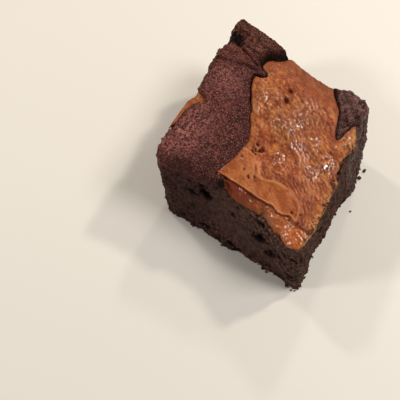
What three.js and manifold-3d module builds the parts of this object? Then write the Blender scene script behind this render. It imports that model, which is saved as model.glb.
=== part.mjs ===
// Chocolate brownie with a swirl of baked caramel in its crust, cut from a tray by hand.
// Millimetres, +Z up. The origin is under the middle of the block, on the surface it lies on.
// Front is -Y and right is +X. A place on the top is (u, v): u runs from the left edge to the
// right edge, v from the front edge to the back edge, both from 0 to 1.

import * as THREE from 'three';
import { mergeVertices } from 'three/addons/utils/BufferGeometryUtils.js';
import Module from 'manifold-3d';

const wasm = await Module();
wasm.setup();

// Driving sizes of the block
const WIDTH = 64.6; // along the front edge
const DEPTH = 68; // from the front edge to the back edge
const THICKNESS = 33; // at the front; the back left corner has risen higher
const TRAY_SKEW = 10; // the back edge sits this far to the left of the front edge
const BACK_LEFT_RISE = 4;
const FRONT_LEAN = 3; // the foot of the front cut lies this far ahead of its top
const RIGHT_LEAN = 6; // the foot of the right cut lies this far outside its top
const FRONT_LEFT_TUCK = 5.5; // how far the foot under the front left corner is pulled in
const FOOT_RADIUS = 1.2;
const SHOULDER_DROP = 1.5; // the crust curls down this far where it meets the caramel
const PLATE_RISE = 0.8; // the crust at the back left corner is a separate raised plate
const CRUST_EDGE_RADIUS = 1.2;
const SOFT_EDGE_RADIUS = 3.8; // the lobe beside the swirl rolls over softly into its cuts
const CORNER_CRUST_RADIUS = 2.4;
const CARAMEL_EDGE_RADIUS = 1;
const MIDDLE = [-2.28, 0.95]; // plan shift that puts the origin under the middle

// Driving sizes of the caramel
const CARAMEL_FLOOR = 28.3; // the swirl fills a pocket down to this level
const DAB_FLOOR = 29.5;
const TOUCH_GAP = 0.3; // between the caramel and the pocket it lies in
const STRIP_WIDTH = 4.7; // the knife dragged down a strip of caramel along the front edge
const STRIP_DROP = 3.4;
const STRIP_DROP_AT_CORNER = 2.2; // it falls less at the front right corner
const LIP_STEP = 0.8; // the caramel sheet ends above the strip by this much
const CARAMEL_SINK = 0.7; // the caramel lies this far under the plane of the top corners
const BACK_SINK = 1.7; // and this much lower again at the back cut
const SHEET_RISE = 0.6; // and this much higher in the smooth sheet at the front

// How finely the surfaces are divided
const TOP_CELLS = 38;
const WALL_ROWS = 9;
const OUTLINE_STEPS = 110;
const UNDERSIDE = -1; // stands for the flat ring under the foot
const CLEARANCE = 20; // how far a cutting shape reaches past what it cuts
const MERGE_TOLERANCE = 1e-4;

// Corners of the block as [x, y, z], at the top edge and at the foot
const halfWidth = WIDTH / 2;
const halfDepth = DEPTH / 2;
const halfSkew = TRAY_SKEW / 2;
const TOP_CORNERS = {
  frontLeft: [-halfWidth + halfSkew, -halfDepth, THICKNESS],
  frontRight: [halfWidth + halfSkew, -halfDepth, THICKNESS],
  backLeft: [-halfWidth - halfSkew, halfDepth + 2.5, THICKNESS + BACK_LEFT_RISE],
  backRight: [halfWidth - halfSkew, halfDepth - 0.5, THICKNESS - 0.5],
};
const FOOT_CORNERS = {
  frontLeft: [-halfWidth + halfSkew + FRONT_LEFT_TUCK, -halfDepth - FRONT_LEAN - 1, 0],
  frontRight: [halfWidth + halfSkew + RIGHT_LEAN - 1, -halfDepth - FRONT_LEAN + 1, 0],
  backLeft: [-halfWidth - halfSkew + 2, halfDepth + 1, 0],
  backRight: [halfWidth - halfSkew + RIGHT_LEAN, halfDepth - 4, 0],
};
const CORNER_RADIUS = { frontLeft: 3, frontRight: 2.5, backLeft: 1.8, backRight: 3.2 };

// How far each top edge strays from a straight line, as [place along the edge, offset].
// A positive offset lies further right or further back.
const LEFT_EDGE = [[0, 0], [0.12, -0.026], [0.36, -0.022], [0.43, 0.004], [0.52, -0.018],
  [0.69, -0.034], [0.84, -0.008], [0.92, -0.016], [1, 0]];
const RIGHT_EDGE = [[0, 0], [0.2, 0.016], [0.48, 0.02], [0.66, 0.006], [0.88, -0.014], [1, 0]];
const FRONT_EDGE = [[0, 0], [0.2, 0.035], [0.38, 0.05], [0.64, 0.055], [0.74, 0.06],
  [0.84, 0.025], [0.92, -0.005], [1, 0]];
const BACK_EDGE = [[0, 0], [0.2, 0], [0.38, -0.01], [0.5, -0.024], [0.7, -0.02],
  [0.86, 0.012], [1, 0.004]];
// The same for the foot of the right cut, which bellies out towards the back.
const RIGHT_FOOT = [[0, 0], [0.33, -0.02], [0.5, 0], [0.74, 0.04], [0.92, 0.01], [1, 0]];

// Outline of the caramel swirl on the top. It runs out over the front, right and back cuts.
const SWIRL = [[0.4, -0.15], [0.375, 0.03], [0.385, 0.09], [0.397, 0.14], [0.414, 0.22],
  [0.43, 0.31], [0.435, 0.38], [0.4, 0.46], [0.345, 0.56], [0.3, 0.64], [0.27, 0.7],
  [0.268, 0.745], [0.325, 0.765], [0.33, 0.8], [0.272, 0.825], [0.285, 0.89], [0.36, 0.945],
  [0.42, 1.02], [0.5, 1.15], [0.68, 1.15], [0.72, 1.02], [0.765, 0.94], [0.815, 0.88],
  [0.848, 0.81], [0.868, 0.73], [0.89, 0.695], [0.912, 0.705], [0.925, 0.77], [0.965, 0.82],
  [1.03, 0.81], [1.15, 0.8], [1.15, 0.4], [1.15, -0.15], [0.8, -0.15]];
// Outline of the small dab that trails down the left edge
const DAB = [[-0.12, 0.43], [0.02, 0.45], [0.075, 0.44], [0.085, 0.405], [0.04, 0.365],
  [0.012, 0.3], [-0.004, 0.22], [-0.05, 0.17], [-0.12, 0.2]];

// Rises and hollows as [u, v, radius in u, radius in v, height in millimetres]
const CRUST_FORMS = [
  [0.16, 0.36, 0.2, 0.34, 1.5], // the long lobe beside the swirl
  [0.12, 0.76, 0.16, 0.12, 0.7], // the small cap behind it
  [0.93, 0.93, 0.09, 0.1, 1.3], // the crust on the back right corner
];
const CARAMEL_FORMS = [
  [0.52, 0.714, 0.025, 0.022, -1.3], // two burst bubbles
  [0.512, 0.784, 0.02, 0.02, -1.1],
  [0.62, 0.6, 0.16, 0.12, 0.5], // where it boiled up
];
// The same on the cuts, as [side, height, radius along, radius up, millimetres].
// The side counts 0 to 4 round from the front left corner, and the height is 0 to 1.
const WALL_TEARS = [
  [0.8, 0.55, 0.035, 0.1, -1.3],
  [0.33, 0.8, 0.03, 0.06, -1.2],
  [1.3, 0.28, 0.04, 0.1, -1.3],
];
// Waves of the cuts as [waves round the block, phase, phase gained over the height, millimetres]
const WALL_WAVES = [[4, 0, 3, 0.45], [9, 1, -5, 0.35]];
const FOOT_WAVES = [[11, 1, 0, 0.3], [19, 0, 0, 0.25], [31, 2, 0, 0.25]];

function smooth(from, to, value) {
  const t = Math.min(Math.max((value - from) / (to - from), 0), 1);
  return t * t * (3 - 2 * t);
}

function mix(a, b, t) {
  return a + (b - a) * t;
}

// A hill of height 1 at (u0, v0) that falls away over the given radii
function hill(u, v, u0, v0, radiusU, radiusV) {
  return Math.exp(-(((u - u0) / radiusU) ** 2) - ((v - v0) / radiusV) ** 2);
}

// Value at t of a stepped line that eases from point to point
function along(points, t) {
  let value = points[0][1];
  for (let i = 1; i < points.length; i += 1) {
    value += (points[i][1] - points[i - 1][1]) * smooth(points[i - 1][0], points[i][0], t);
  }
  return value;
}

function between(corners, u, v) {
  return [0, 1, 2].map((axis) => mix(
    mix(corners.frontLeft[axis], corners.frontRight[axis], u),
    mix(corners.backLeft[axis], corners.backRight[axis], u),
    v,
  ));
}

function planPoint([u, v]) {
  const [x, y] = between(TOP_CORNERS, u, v);
  return new THREE.Vector2(x + MIDDLE[0], y + MIDDLE[1]);
}

// Rounds the corners of the unit square: a corner square becomes a quarter disc.
function roundCorner(a, b) {
  const name = (b < 0.5 ? 'front' : 'back') + (a < 0.5 ? 'Left' : 'Right');
  const radius = CORNER_RADIUS[name];
  const px = 1 - (Math.min(a, 1 - a) * WIDTH) / radius;
  const py = 1 - (Math.min(b, 1 - b) * DEPTH) / radius;
  if (px <= 0 || py <= 0) {
    return [a, b];
  }
  const inX = (radius * (1 - px * Math.sqrt(1 - (py * py) / 2))) / WIDTH;
  const inY = (radius * (1 - py * Math.sqrt(1 - (px * px) / 2))) / DEPTH;
  return [a < 0.5 ? inX : 1 - inX, b < 0.5 ? inY : 1 - inY];
}

// Place on the uneven top outline for a place in the unit square
function topPlace(a, b) {
  const [ra, rb] = roundCorner(a, b);
  const u = ra + mix(along(LEFT_EDGE, rb), along(RIGHT_EDGE, rb), ra);
  const v = rb + mix(along(FRONT_EDGE, ra), along(BACK_EDGE, ra), rb);
  return [u, v];
}

function footPlace(a, b) {
  const [ra, rb] = roundCorner(a, b);
  return [ra + along(RIGHT_FOOT, rb) * ra, rb];
}

// Closed smooth outline through control points given as (u, v)
function outline(points) {
  const controls = points.map((point) => {
    const plan = planPoint(point);
    return new THREE.Vector3(plan.x, plan.y, 0);
  });
  const curve = new THREE.CatmullRomCurve3(controls, true, 'catmullrom', 0.5);
  return curve.getSpacedPoints(OUTLINE_STEPS).slice(0, -1);
}

// Signed distance in millimetres from a plan point to a closed outline, positive outside it
function distanceTo(loop, x, y) {
  let nearest = Infinity;
  let inside = false;
  for (let i = 0; i < loop.length; i += 1) {
    const p = loop[i];
    const q = loop[(i + 1) % loop.length];
    const dx = q.x - p.x;
    const dy = q.y - p.y;
    const t = Math.min(Math.max(((x - p.x) * dx + (y - p.y) * dy) / (dx * dx + dy * dy), 0), 1);
    nearest = Math.min(nearest, Math.hypot(x - p.x - t * dx, y - p.y - t * dy));
    if ((p.y > y) !== (q.y > y) && x < p.x + ((y - p.y) * dx) / dy) {
      inside = !inside;
    }
  }
  return inside ? -nearest : nearest;
}

const swirlOutline = outline(SWIRL);
const dabOutline = outline(DAB);

function sumOfForms(forms, p, q) {
  return forms.reduce((sum, [p0, q0, radiusP, radiusQ, height]) => (
    sum + height * hill(p, q, p0, q0, radiusP, radiusQ)
  ), 0);
}

function sumOfWaves(waves, side, level) {
  const turn = (side * Math.PI) / 2;
  return waves.reduce((sum, [count, phase, gain, height]) => (
    sum + height * Math.sin(count * turn + gain * level + phase)
  ), 0);
}

// Height of the chocolate crust over the plane of the top corners
function crustRelief(u, v) {
  const { x, y } = planPoint([u, v]);
  const shoulder = -SHOULDER_DROP * (1 - smooth(-1, 6, distanceTo(swirlOutline, x, y))) * smooth(0.12, 0.4, v);
  const plate = PLATE_RISE * smooth(0.83, 0.87, v - 0.2 * u) * (1 - smooth(0.4, 0.5, u));
  const crack = -PLATE_RISE * hill(u, v + 0.22 * u, 0.12, 0.865, 0.14, 0.02);
  return sumOfForms(CRUST_FORMS, u, v) + shoulder + plate + crack;
}

// Height of the caramel over the same plane
function caramelRelief(u, v) {
  const level = SHEET_RISE * (1 - smooth(0.2, 0.45, v)) - BACK_SINK * smooth(0.8, 0.96, v) - CARAMEL_SINK;
  const folds = 0.3 * Math.sin(15 * u + 8 * v) + 0.3 * Math.sin(9 * u - 19 * v + 1) * Math.sin(6 * v);
  const fromFront = (v - along(FRONT_EDGE, u)) * DEPTH;
  const drop = mix(STRIP_DROP, STRIP_DROP_AT_CORNER, smooth(0.84, 0.95, u));
  const strip = -drop * Math.max(1 - fromFront / STRIP_WIDTH, 0) ** 1.2;
  const lip = -LIP_STEP * (1 - smooth(STRIP_WIDTH - 1, STRIP_WIDTH + 0.3, fromFront));
  return level + folds + sumOfForms(CARAMEL_FORMS, u, v) + strip + lip;
}

function crustEdgeRadius(u, v) {
  const soft = (1 - smooth(0.3, 0.5, u)) * (1 - smooth(0.8, 0.95, v));
  const atCorner = hill(u, v, 1, 1, 0.15, 0.15);
  return CRUST_EDGE_RADIUS + (SOFT_EDGE_RADIUS - CRUST_EDGE_RADIUS) * soft
    + (CORNER_CRUST_RADIUS - CRUST_EDGE_RADIUS) * atCorner;
}

function caramelEdgeRadius() {
  return CARAMEL_EDGE_RADIUS;
}

// Positions from 0 to 1, closer together near both ends
function spread(count) {
  const places = [];
  for (let i = 0; i <= count; i += 1) {
    const t = i / count;
    places.push(mix(t, 0.5 - 0.5 * Math.cos(Math.PI * t), 0.5));
  }
  return places;
}

// Outward bumps and hollows of the four cuts, more ragged at the foot and none at the top edge
function wallRelief(side, level) {
  const ragged = sumOfWaves(FOOT_WAVES, side, level) * (1 - smooth(0, 0.25, level));
  const surface = sumOfWaves(WALL_WAVES, side, level) + sumOfForms(WALL_TEARS, side, level) + ragged;
  return surface * smooth(0, 0.12, 1 - level);
}

// The walk round the block: each entry is a place on the edge of the unit square and its side
function edgeWalk(cells) {
  const places = spread(cells);
  const walk = [];
  for (let i = 0; i < cells; i += 1) {
    walk.push({ i, j: 0, a: places[i], b: 0, side: places[i] });
  }
  for (let j = 0; j < cells; j += 1) {
    walk.push({ i: cells, j, a: 1, b: places[j], side: 1 + places[j] });
  }
  for (let i = cells; i > 0; i -= 1) {
    walk.push({ i, j: cells, a: places[i], b: 1, side: 3 - places[i] });
  }
  for (let j = cells; j > 0; j -= 1) {
    walk.push({ i: 0, j, a: 0, b: places[j], side: 4 - places[j] });
  }
  return walk;
}

// Plan point of a cut, at a level from 0 at the foot to 1 at the top edge
function wallPoint(a, b, level) {
  const top = between(TOP_CORNERS, ...topPlace(a, b));
  const foot = between(FOOT_CORNERS, ...footPlace(a, b));
  return new THREE.Vector2(mix(foot[0], top[0], level) + MIDDLE[0], mix(foot[1], top[1], level) + MIDDLE[1]);
}

// The whole block as one closed mesh, with the given relief and edge radius on its top
function blockGeometry(relief, edgeRadius) {
  const cells = TOP_CELLS;
  const places = spread(cells);
  const walk = edgeWalk(cells);
  const rim = walk.map(({ a, b }) => planPoint(topPlace(a, b)));
  const positions = [];
  const triangles = [];
  const topIndex = (i, j) => j * (cells + 1) + i;

  for (let j = 0; j <= cells; j += 1) {
    for (let i = 0; i <= cells; i += 1) {
      const [u, v] = topPlace(places[i], places[j]);
      const onRim = i === 0 || j === 0 || i === cells || j === cells;
      const { x, y } = planPoint([u, v]);
      const radius = edgeRadius(u, v);
      const inset = onRim ? 0 : Math.min(Math.abs(distanceTo(rim, x, y)), radius);
      const drop = radius - Math.sqrt(radius ** 2 - (radius - inset) ** 2);
      positions.push(x, y, between(TOP_CORNERS, u, v)[2] + relief(u, v) - drop);
    }
  }
  for (let j = 0; j < cells; j += 1) {
    for (let i = 0; i < cells; i += 1) {
      const corner = topIndex(i, j);
      const next = topIndex(i, j + 1);
      triangles.push(corner, corner + 1, next + 1, corner, next + 1, next);
    }
  }

  const levels = spread(WALL_ROWS).slice(1).map((place) => 1 - place);
  let upper = walk.map(({ i, j }) => topIndex(i, j));
  for (const level of [...levels, UNDERSIDE]) {
    const isUnderside = level === UNDERSIDE;
    const ring = walk.map(({ a, b }) => wallPoint(a, b, Math.max(level, 0)));
    const first = positions.length / 3;
    walk.forEach(({ i, j, side }, k) => {
      const before = ring[(k + walk.length - 1) % walk.length];
      const after = ring[(k + 1) % walk.length];
      const outward = new THREE.Vector2(after.y - before.y, before.x - after.x).normalize();
      const push = wallRelief(side, Math.max(level, 0)) - (isUnderside ? FOOT_RADIUS : 0);
      const rimHeight = positions[topIndex(i, j) * 3 + 2];
      const z = isUnderside ? 0 : Math.max(rimHeight * level, FOOT_RADIUS / 2);
      positions.push(ring[k].x + outward.x * push, ring[k].y + outward.y * push, z);
    });
    const lower = walk.map((_, k) => first + k);
    for (let k = 0; k < walk.length; k += 1) {
      const next = (k + 1) % walk.length;
      triangles.push(upper[k], lower[k], lower[next], upper[k], lower[next], upper[next]);
    }
    upper = lower;
  }

  const centre = positions.length / 3;
  positions.push(0, 0, 0);
  for (let k = 0; k < walk.length; k += 1) {
    triangles.push(upper[k], centre, upper[(k + 1) % walk.length]);
  }
  return geometryFrom(positions, triangles);
}

function geometryFrom(positions, triangles) {
  const geometry = new THREE.BufferGeometry();
  geometry.setAttribute('position', new THREE.Float32BufferAttribute(positions, 3));
  geometry.setIndex(triangles);
  return geometry;
}

// An upright prism over an outline that is first grown by the given amount
function prismGeometry(loop, grow, floor) {
  const turn = THREE.ShapeUtils.isClockWise(loop) ? -1 : 1;
  const points = loop.map((point, k) => {
    const before = loop[(k + loop.length - 1) % loop.length];
    const after = loop[(k + 1) % loop.length];
    const outward = new THREE.Vector2(after.y - before.y, before.x - after.x).normalize();
    return new THREE.Vector2(point.x, point.y).addScaledVector(outward, grow * turn);
  });
  const geometry = new THREE.ExtrudeGeometry(new THREE.Shape(points), {
    depth: THICKNESS + CLEARANCE - floor,
    bevelEnabled: false,
  });
  geometry.translate(0, 0, floor);
  return geometry;
}

function solidFrom(geometry) {
  const bare = geometry.clone();
  bare.deleteAttribute('normal');
  bare.deleteAttribute('uv');
  const merged = mergeVertices(bare, MERGE_TOLERANCE);
  return new wasm.Manifold(new wasm.Mesh({
    numProp: 3,
    vertProperties: merged.attributes.position.array,
    triVerts: new Uint32Array(merged.index.array),
  }));
}

function meshFrom(solid, name, material) {
  const { vertProperties, triVerts } = solid.getMesh();
  const geometry = geometryFrom(Array.from(vertProperties), Array.from(triVerts));
  geometry.computeVertexNormals();
  const mesh = new THREE.Mesh(geometry, material);
  mesh.name = name;
  return mesh;
}

const crustBlock = solidFrom(blockGeometry(crustRelief, crustEdgeRadius));
const caramelBlock = solidFrom(blockGeometry(caramelRelief, caramelEdgeRadius));

const chocolate = new THREE.MeshStandardMaterial({ color: 0x3b2523, roughness: 0.85, metalness: 0 });
const caramel = new THREE.MeshStandardMaterial({ color: 0xa05a28, roughness: 0.3, metalness: 0 });
const caramelAtEdge = new THREE.MeshStandardMaterial({ color: 0xb06a35, roughness: 0.45, metalness: 0 });

function pocket(loop, floor) {
  return solidFrom(prismGeometry(loop, TOUCH_GAP, floor - TOUCH_GAP));
}

function filling(loop, floor) {
  return caramelBlock.intersect(solidFrom(prismGeometry(loop, 0, floor)));
}

const body = crustBlock
  .subtract(pocket(swirlOutline, CARAMEL_FLOOR))
  .subtract(pocket(dabOutline, DAB_FLOOR));

const brownie = new THREE.Group();
brownie.name = 'chocolate_brownie';
brownie.add(meshFrom(body, 'brownie_body', chocolate));
brownie.add(meshFrom(filling(swirlOutline, CARAMEL_FLOOR), 'caramel_swirl', caramel));
brownie.add(meshFrom(filling(dabOutline, DAB_FLOOR), 'caramel_dab', caramelAtEdge));

export default brownie;
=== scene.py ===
import math

import bmesh
import bpy
import numpy as np
from mathutils import Matrix
from mathutils.kdtree import KDTree


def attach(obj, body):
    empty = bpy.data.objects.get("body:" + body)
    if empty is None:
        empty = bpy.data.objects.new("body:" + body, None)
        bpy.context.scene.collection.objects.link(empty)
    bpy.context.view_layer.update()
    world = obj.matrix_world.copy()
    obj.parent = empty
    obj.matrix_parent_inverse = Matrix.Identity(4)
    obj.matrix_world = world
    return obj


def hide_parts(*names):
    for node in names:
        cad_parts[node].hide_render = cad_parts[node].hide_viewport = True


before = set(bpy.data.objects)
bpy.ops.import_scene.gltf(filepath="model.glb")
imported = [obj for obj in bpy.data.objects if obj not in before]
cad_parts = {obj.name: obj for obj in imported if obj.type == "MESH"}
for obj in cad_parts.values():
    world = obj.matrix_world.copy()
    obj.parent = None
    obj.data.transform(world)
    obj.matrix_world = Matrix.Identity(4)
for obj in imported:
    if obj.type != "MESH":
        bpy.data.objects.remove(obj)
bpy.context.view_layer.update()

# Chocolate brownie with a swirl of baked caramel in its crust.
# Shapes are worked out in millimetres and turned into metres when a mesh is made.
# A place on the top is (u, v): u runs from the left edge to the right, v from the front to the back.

MM = 0.001

# Sizes of the block, as in the solid model
WIDTH = 64.6
DEPTH = 68.0
THICKNESS = 33.0
TRAY_SKEW = 10.0
BACK_LEFT_RISE = 4.0
FRONT_LEAN = 3.0
RIGHT_LEAN = 6.0
FRONT_LEFT_TUCK = 5.5
FOOT_RADIUS = 1.2
SHOULDER_DROP = 1.5
PLATE_RISE = 0.8
CRUST_EDGE_RADIUS = 1.2
SOFT_EDGE_RADIUS = 3.8
CORNER_CRUST_RADIUS = 2.4
CARAMEL_EDGE_RADIUS = 1.0
MIDDLE = np.array([-2.28, 0.95])

# Sizes of the caramel, as in the solid model apart from the widths of the strip
CARAMEL_FLOOR = 28.3
DAB_FLOOR = 29.5
STRIP_WIDTH = 4.2
BROAD_STRIP = 3.0
STRIP_DROP = 3.4
STRIP_DROP_AT_CORNER = 2.2
LIP_STEP = 0.8
CARAMEL_SINK = 0.7
BACK_SINK = 1.7
SHEET_RISE = 0.6

HALF_WIDTH = WIDTH / 2
HALF_DEPTH = DEPTH / 2
HALF_SKEW = TRAY_SKEW / 2
# Corners in the order front left, front right, back left, back right
TOP_CORNERS = np.array([
    [-HALF_WIDTH + HALF_SKEW, -HALF_DEPTH, THICKNESS],
    [HALF_WIDTH + HALF_SKEW, -HALF_DEPTH, THICKNESS],
    [-HALF_WIDTH - HALF_SKEW, HALF_DEPTH + 2.5, THICKNESS + BACK_LEFT_RISE],
    [HALF_WIDTH - HALF_SKEW, HALF_DEPTH - 0.5, THICKNESS - 0.5],
])
FOOT_CORNERS = np.array([
    [-HALF_WIDTH + HALF_SKEW + FRONT_LEFT_TUCK, -HALF_DEPTH - FRONT_LEAN - 1, 0],
    [HALF_WIDTH + HALF_SKEW + RIGHT_LEAN - 1, -HALF_DEPTH - FRONT_LEAN + 1, 0],
    [-HALF_WIDTH - HALF_SKEW + 2, HALF_DEPTH + 1, 0],
    [HALF_WIDTH - HALF_SKEW + RIGHT_LEAN, HALF_DEPTH - 4, 0],
])
CORNER_RADIUS = [[3.0, 2.5], [1.8, 3.2]]

LEFT_EDGE = [(0, -0.024), (0.12, -0.03), (0.36, -0.022), (0.43, 0.004), (0.52, -0.018),
             (0.69, -0.034), (0.84, -0.008), (0.92, -0.016), (1, 0)]
RIGHT_EDGE = [(0, 0), (0.2, 0.016), (0.48, 0.02), (0.66, 0.006), (0.88, -0.014), (1, 0)]
FRONT_EDGE = [(0, 0), (0.2, 0.035), (0.38, 0.05), (0.64, 0.055), (0.74, 0.06),
              (0.84, 0.025), (0.92, -0.005), (1, 0)]
BACK_EDGE = [(0, 0), (0.2, 0), (0.38, -0.01), (0.5, -0.024), (0.7, -0.02), (0.86, 0.012), (1, 0.004)]
RIGHT_FOOT = [(0, 0), (0.33, -0.02), (0.5, 0), (0.74, 0.04), (0.92, 0.01), (1, 0)]

SWIRL = [(0.52, -0.15), (0.495, 0.02), (0.462, 0.055), (0.437, 0.082), (0.42, 0.1), (0.4, 0.094),
         (0.364, 0.095), (0.372, 0.125), (0.392, 0.165), (0.414, 0.22), (0.43, 0.31),
         (0.435, 0.38), (0.4, 0.46), (0.345, 0.56), (0.3, 0.64), (0.27, 0.7), (0.268, 0.745),
         (0.325, 0.765), (0.33, 0.8), (0.272, 0.825), (0.285, 0.89), (0.36, 0.945), (0.42, 1.02),
         (0.5, 1.15), (0.68, 1.15), (0.72, 1.02), (0.765, 0.94), (0.815, 0.88), (0.848, 0.81),
         (0.868, 0.73), (0.888, 0.69), (0.908, 0.69), (0.927, 0.75), (0.945, 0.808), (0.963, 0.828),
         (0.985, 0.8), (1.02, 0.775), (1.15, 0.76), (1.15, 0.7), (1.02, 0.68), (0.985, 0.62),
         (0.984, 0.55), (1.01, 0.47), (1.15, 0.4), (1.15, 0.2), (1.15, -0.15), (0.8, -0.15)]
DAB = [(-0.12, 0.43), (0.02, 0.45), (0.075, 0.44), (0.085, 0.405), (0.03, 0.37), (0.004, 0.31),
       (-0.008, 0.22), (-0.05, 0.15), (-0.12, 0.2)]

CRUST_FORMS = [(0.16, 0.36, 0.2, 0.34, 1.5), (0.12, 0.76, 0.16, 0.12, 0.7), (0.93, 0.93, 0.09, 0.1, 1.3)]
CARAMEL_FORMS = [(0.52, 0.714, 0.022, 0.02, -1.6), (0.512, 0.784, 0.017, 0.017, -1.3),
                 (0.62, 0.6, 0.16, 0.12, 0.5)]
WALL_TEARS = [(0.8, 0.55, 0.035, 0.1, -1.3), (0.33, 0.8, 0.03, 0.06, -1.2), (1.3, 0.28, 0.04, 0.1, -1.3)]
WALL_WAVES = [(4, 0, 3, 0.45), (9, 1, -5, 0.35)]
FOOT_WAVES = [(11, 1, 0, 0.3), (19, 0, 0, 0.25), (31, 2, 0, 0.25)]

# How finely the surfaces are divided
CRUMB_CELLS = 158
CARAMEL_CELLS = 230
DAB_CELLS = 120
WALL_ROWS = 72
UNDERSIDE_RINGS = (0.94, 0.8, 0.55, 0.25)
# What marks points that lie on no side of the block, and points underneath it
NO_SIDE = -1.0
UNDERNEATH = -1.0


# Helpers for smooth shapes
def smooth(low, high, value):
    t = np.clip((value - low) / (high - low), 0, 1)
    return t * t * (3 - 2 * t)


def fade(low, high, value):
    """Falls from 1 to 0 as the value rises from low to high."""
    return 1 - smooth(low, high, value)


def mix(a, b, t):
    return a + (b - a) * t


def hill(p, q, p0, q0, radius_p, radius_q):
    return np.exp(-(((p - p0) / radius_p) ** 2) - ((q - q0) / radius_q) ** 2)


def bell(value, middle, half_width):
    return np.exp(-(((value - middle) / half_width) ** 2))


def along(points, t):
    """Height at t of a smooth line through points (t, height)."""
    value = points[0][1] + 0 * t
    for (t0, v0), (t1, v1) in zip(points, points[1:]):
        value = value + (v1 - v0) * smooth(t0, t1, t)
    return value


def sum_of_forms(forms, p, q):
    return sum(height * hill(p, q, p0, q0, rp, rq) for p0, q0, rp, rq, height in forms)


def sum_of_waves(waves, side, level):
    turn = side * math.pi / 2
    return sum(height * np.sin(count * turn + gain * level + phase) for count, phase, gain, height in waves)


def between(corners, u, v):
    """The place (u, v) between four corners."""
    u = np.asarray(u, float)[..., None]
    v = np.asarray(v, float)[..., None]
    front = mix(corners[0], corners[1], u)
    back = mix(corners[2], corners[3], u)
    return mix(front, back, v)


def plan(u, v):
    return between(TOP_CORNERS, u, v)[..., :2] + MIDDLE


def place_of(xy):
    """(u, v) of plan points, found by a few Newton steps."""
    u = np.full(len(xy), 0.5)
    v = np.full(len(xy), 0.5)
    step = 1e-4
    for _ in range(6):
        here = plan(u, v)
        du = (plan(u + step, v) - here) / step
        dv = (plan(u, v + step) - here) / step
        off = xy - here
        det = du[:, 0] * dv[:, 1] - du[:, 1] * dv[:, 0]
        u = u + (off[:, 0] * dv[:, 1] - off[:, 1] * dv[:, 0]) / det
        v = v + (du[:, 0] * off[:, 1] - du[:, 1] * off[:, 0]) / det
    return u, v


def corner_height(u, v):
    return between(TOP_CORNERS, u, v)[..., 2]


def behind_front(u, v):
    """Millimetres behind the front edge of the top."""
    return (v - along(FRONT_EDGE, u)) * DEPTH


def inside_right(u, v):
    """Millimetres inside the right edge of the top."""
    return (1 - u + along(RIGHT_EDGE, v)) * WIDTH


# Seeded noise
NOISE_RNG = np.random.default_rng(20)
SHUFFLE = NOISE_RNG.permutation(256)
SLOPES = NOISE_RNG.normal(size=(256, 3))
SLOPES /= np.linalg.norm(SLOPES, axis=1, keepdims=True)
SPOTS = NOISE_RNG.random((256, 3))
NOISE_GAIN = 1.7


def shuffled(cell):
    x, y, z = (cell[..., axis] & 255 for axis in range(3))
    return SHUFFLE[(SHUFFLE[(SHUFFLE[x] + y) & 255] + z) & 255]


def noise(points, size, shift=0.0):
    """Gradient noise round 0, mostly within 0.5 either way, with features of the given size."""
    q = points / size + shift
    cell = np.floor(q).astype(int)
    f = q - cell
    ease = f * f * f * (f * (f * 6 - 15) + 10)
    total = np.zeros(len(points))
    for corner in np.ndindex(2, 2, 2):
        offset = np.array(corner)
        slope = SLOPES[shuffled(cell + offset)]
        weight = np.prod(np.where(offset == 1, ease, 1 - ease), axis=1)
        total += weight * np.sum(slope * (f - offset), axis=1)
    return total * NOISE_GAIN


def layered(points, size, layers, shift=0.0):
    """Noise with finer noise on it, each layer at half the size and height of the last."""
    total = np.zeros(len(points))
    for k in range(layers):
        total += noise(points, size / 2**k, shift + 7.3 * k) / 2**k
    return total


def flat_points(xy):
    """Plan points as points in space, at height 0."""
    return np.column_stack([xy, np.zeros(len(xy))])


def uneven(xy, size, shift):
    """Noise over the plan."""
    return noise(flat_points(xy), size, shift)


def cells(points, size, shift):
    """Distance to the nearest scattered spot, as a share of the spacing, and that spot's number, 0 to 1."""
    q = points / size + shift
    cell = np.floor(q).astype(int)
    nearest = np.full(len(points), 9.0)
    number = np.zeros(len(points))
    for offset in np.ndindex(3, 3, 3):
        there = cell + np.array(offset) - 1
        code = shuffled(there)
        distance = np.linalg.norm(q - there - SPOTS[code], axis=1)
        closer = distance < nearest
        nearest = np.where(closer, distance, nearest)
        number = np.where(closer, code / 255, number)
    return nearest, number


def pits(points, size, radius, share, shift):
    """Round pits, 1 at their middle, at a share of scattered spots and of uneven radius."""
    distance, number = cells(points, size, shift)
    own_radius = radius * (0.5 + (number * 37) % 1)
    return fade(0.3 * own_radius, own_radius, distance) * (number < share)


# Outlines on the top
OUTLINE_STEPS = 14
RAGGED_EDGE = 0.3


def closed_curve(controls, steps):
    """Smooth closed curve through points, of the Catmull-Rom kind."""
    controls = np.asarray(controls, float)
    before, after, beyond = (np.roll(controls, shift, axis=0) for shift in (1, -1, -2))
    t = (np.arange(steps) / steps)[None, :, None]
    p0, p1, p2, p3 = (p[:, None, :] for p in (before, controls, after, beyond))
    curve = 0.5 * (2 * p1 + (p2 - p0) * t + (2 * p0 - 5 * p1 + 4 * p2 - p3) * t**2
                   + (3 * p1 - p0 - 3 * p2 + p3) * t**3)
    return curve.reshape(-1, 2)


def outward_of(loop):
    """Unit vectors across a closed loop, which point out of it where it runs anticlockwise."""
    tangent = np.roll(loop, -1, axis=0) - np.roll(loop, 1, axis=0)
    outward = np.column_stack([tangent[:, 1], -tangent[:, 0]])
    return outward / np.linalg.norm(outward, axis=1, keepdims=True)


def outline(points):
    """Plan outline of a patch of caramel, in millimetres, with an uneven edge."""
    u, v = np.array(points).T
    curve = closed_curve(plan(u, v), OUTLINE_STEPS)
    push = RAGGED_EDGE * (uneven(curve, 4.5, 3.1) + 0.6 * uneven(curve, 1.6, 8.2))
    return curve + outward_of(curve) * push[:, None]


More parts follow.
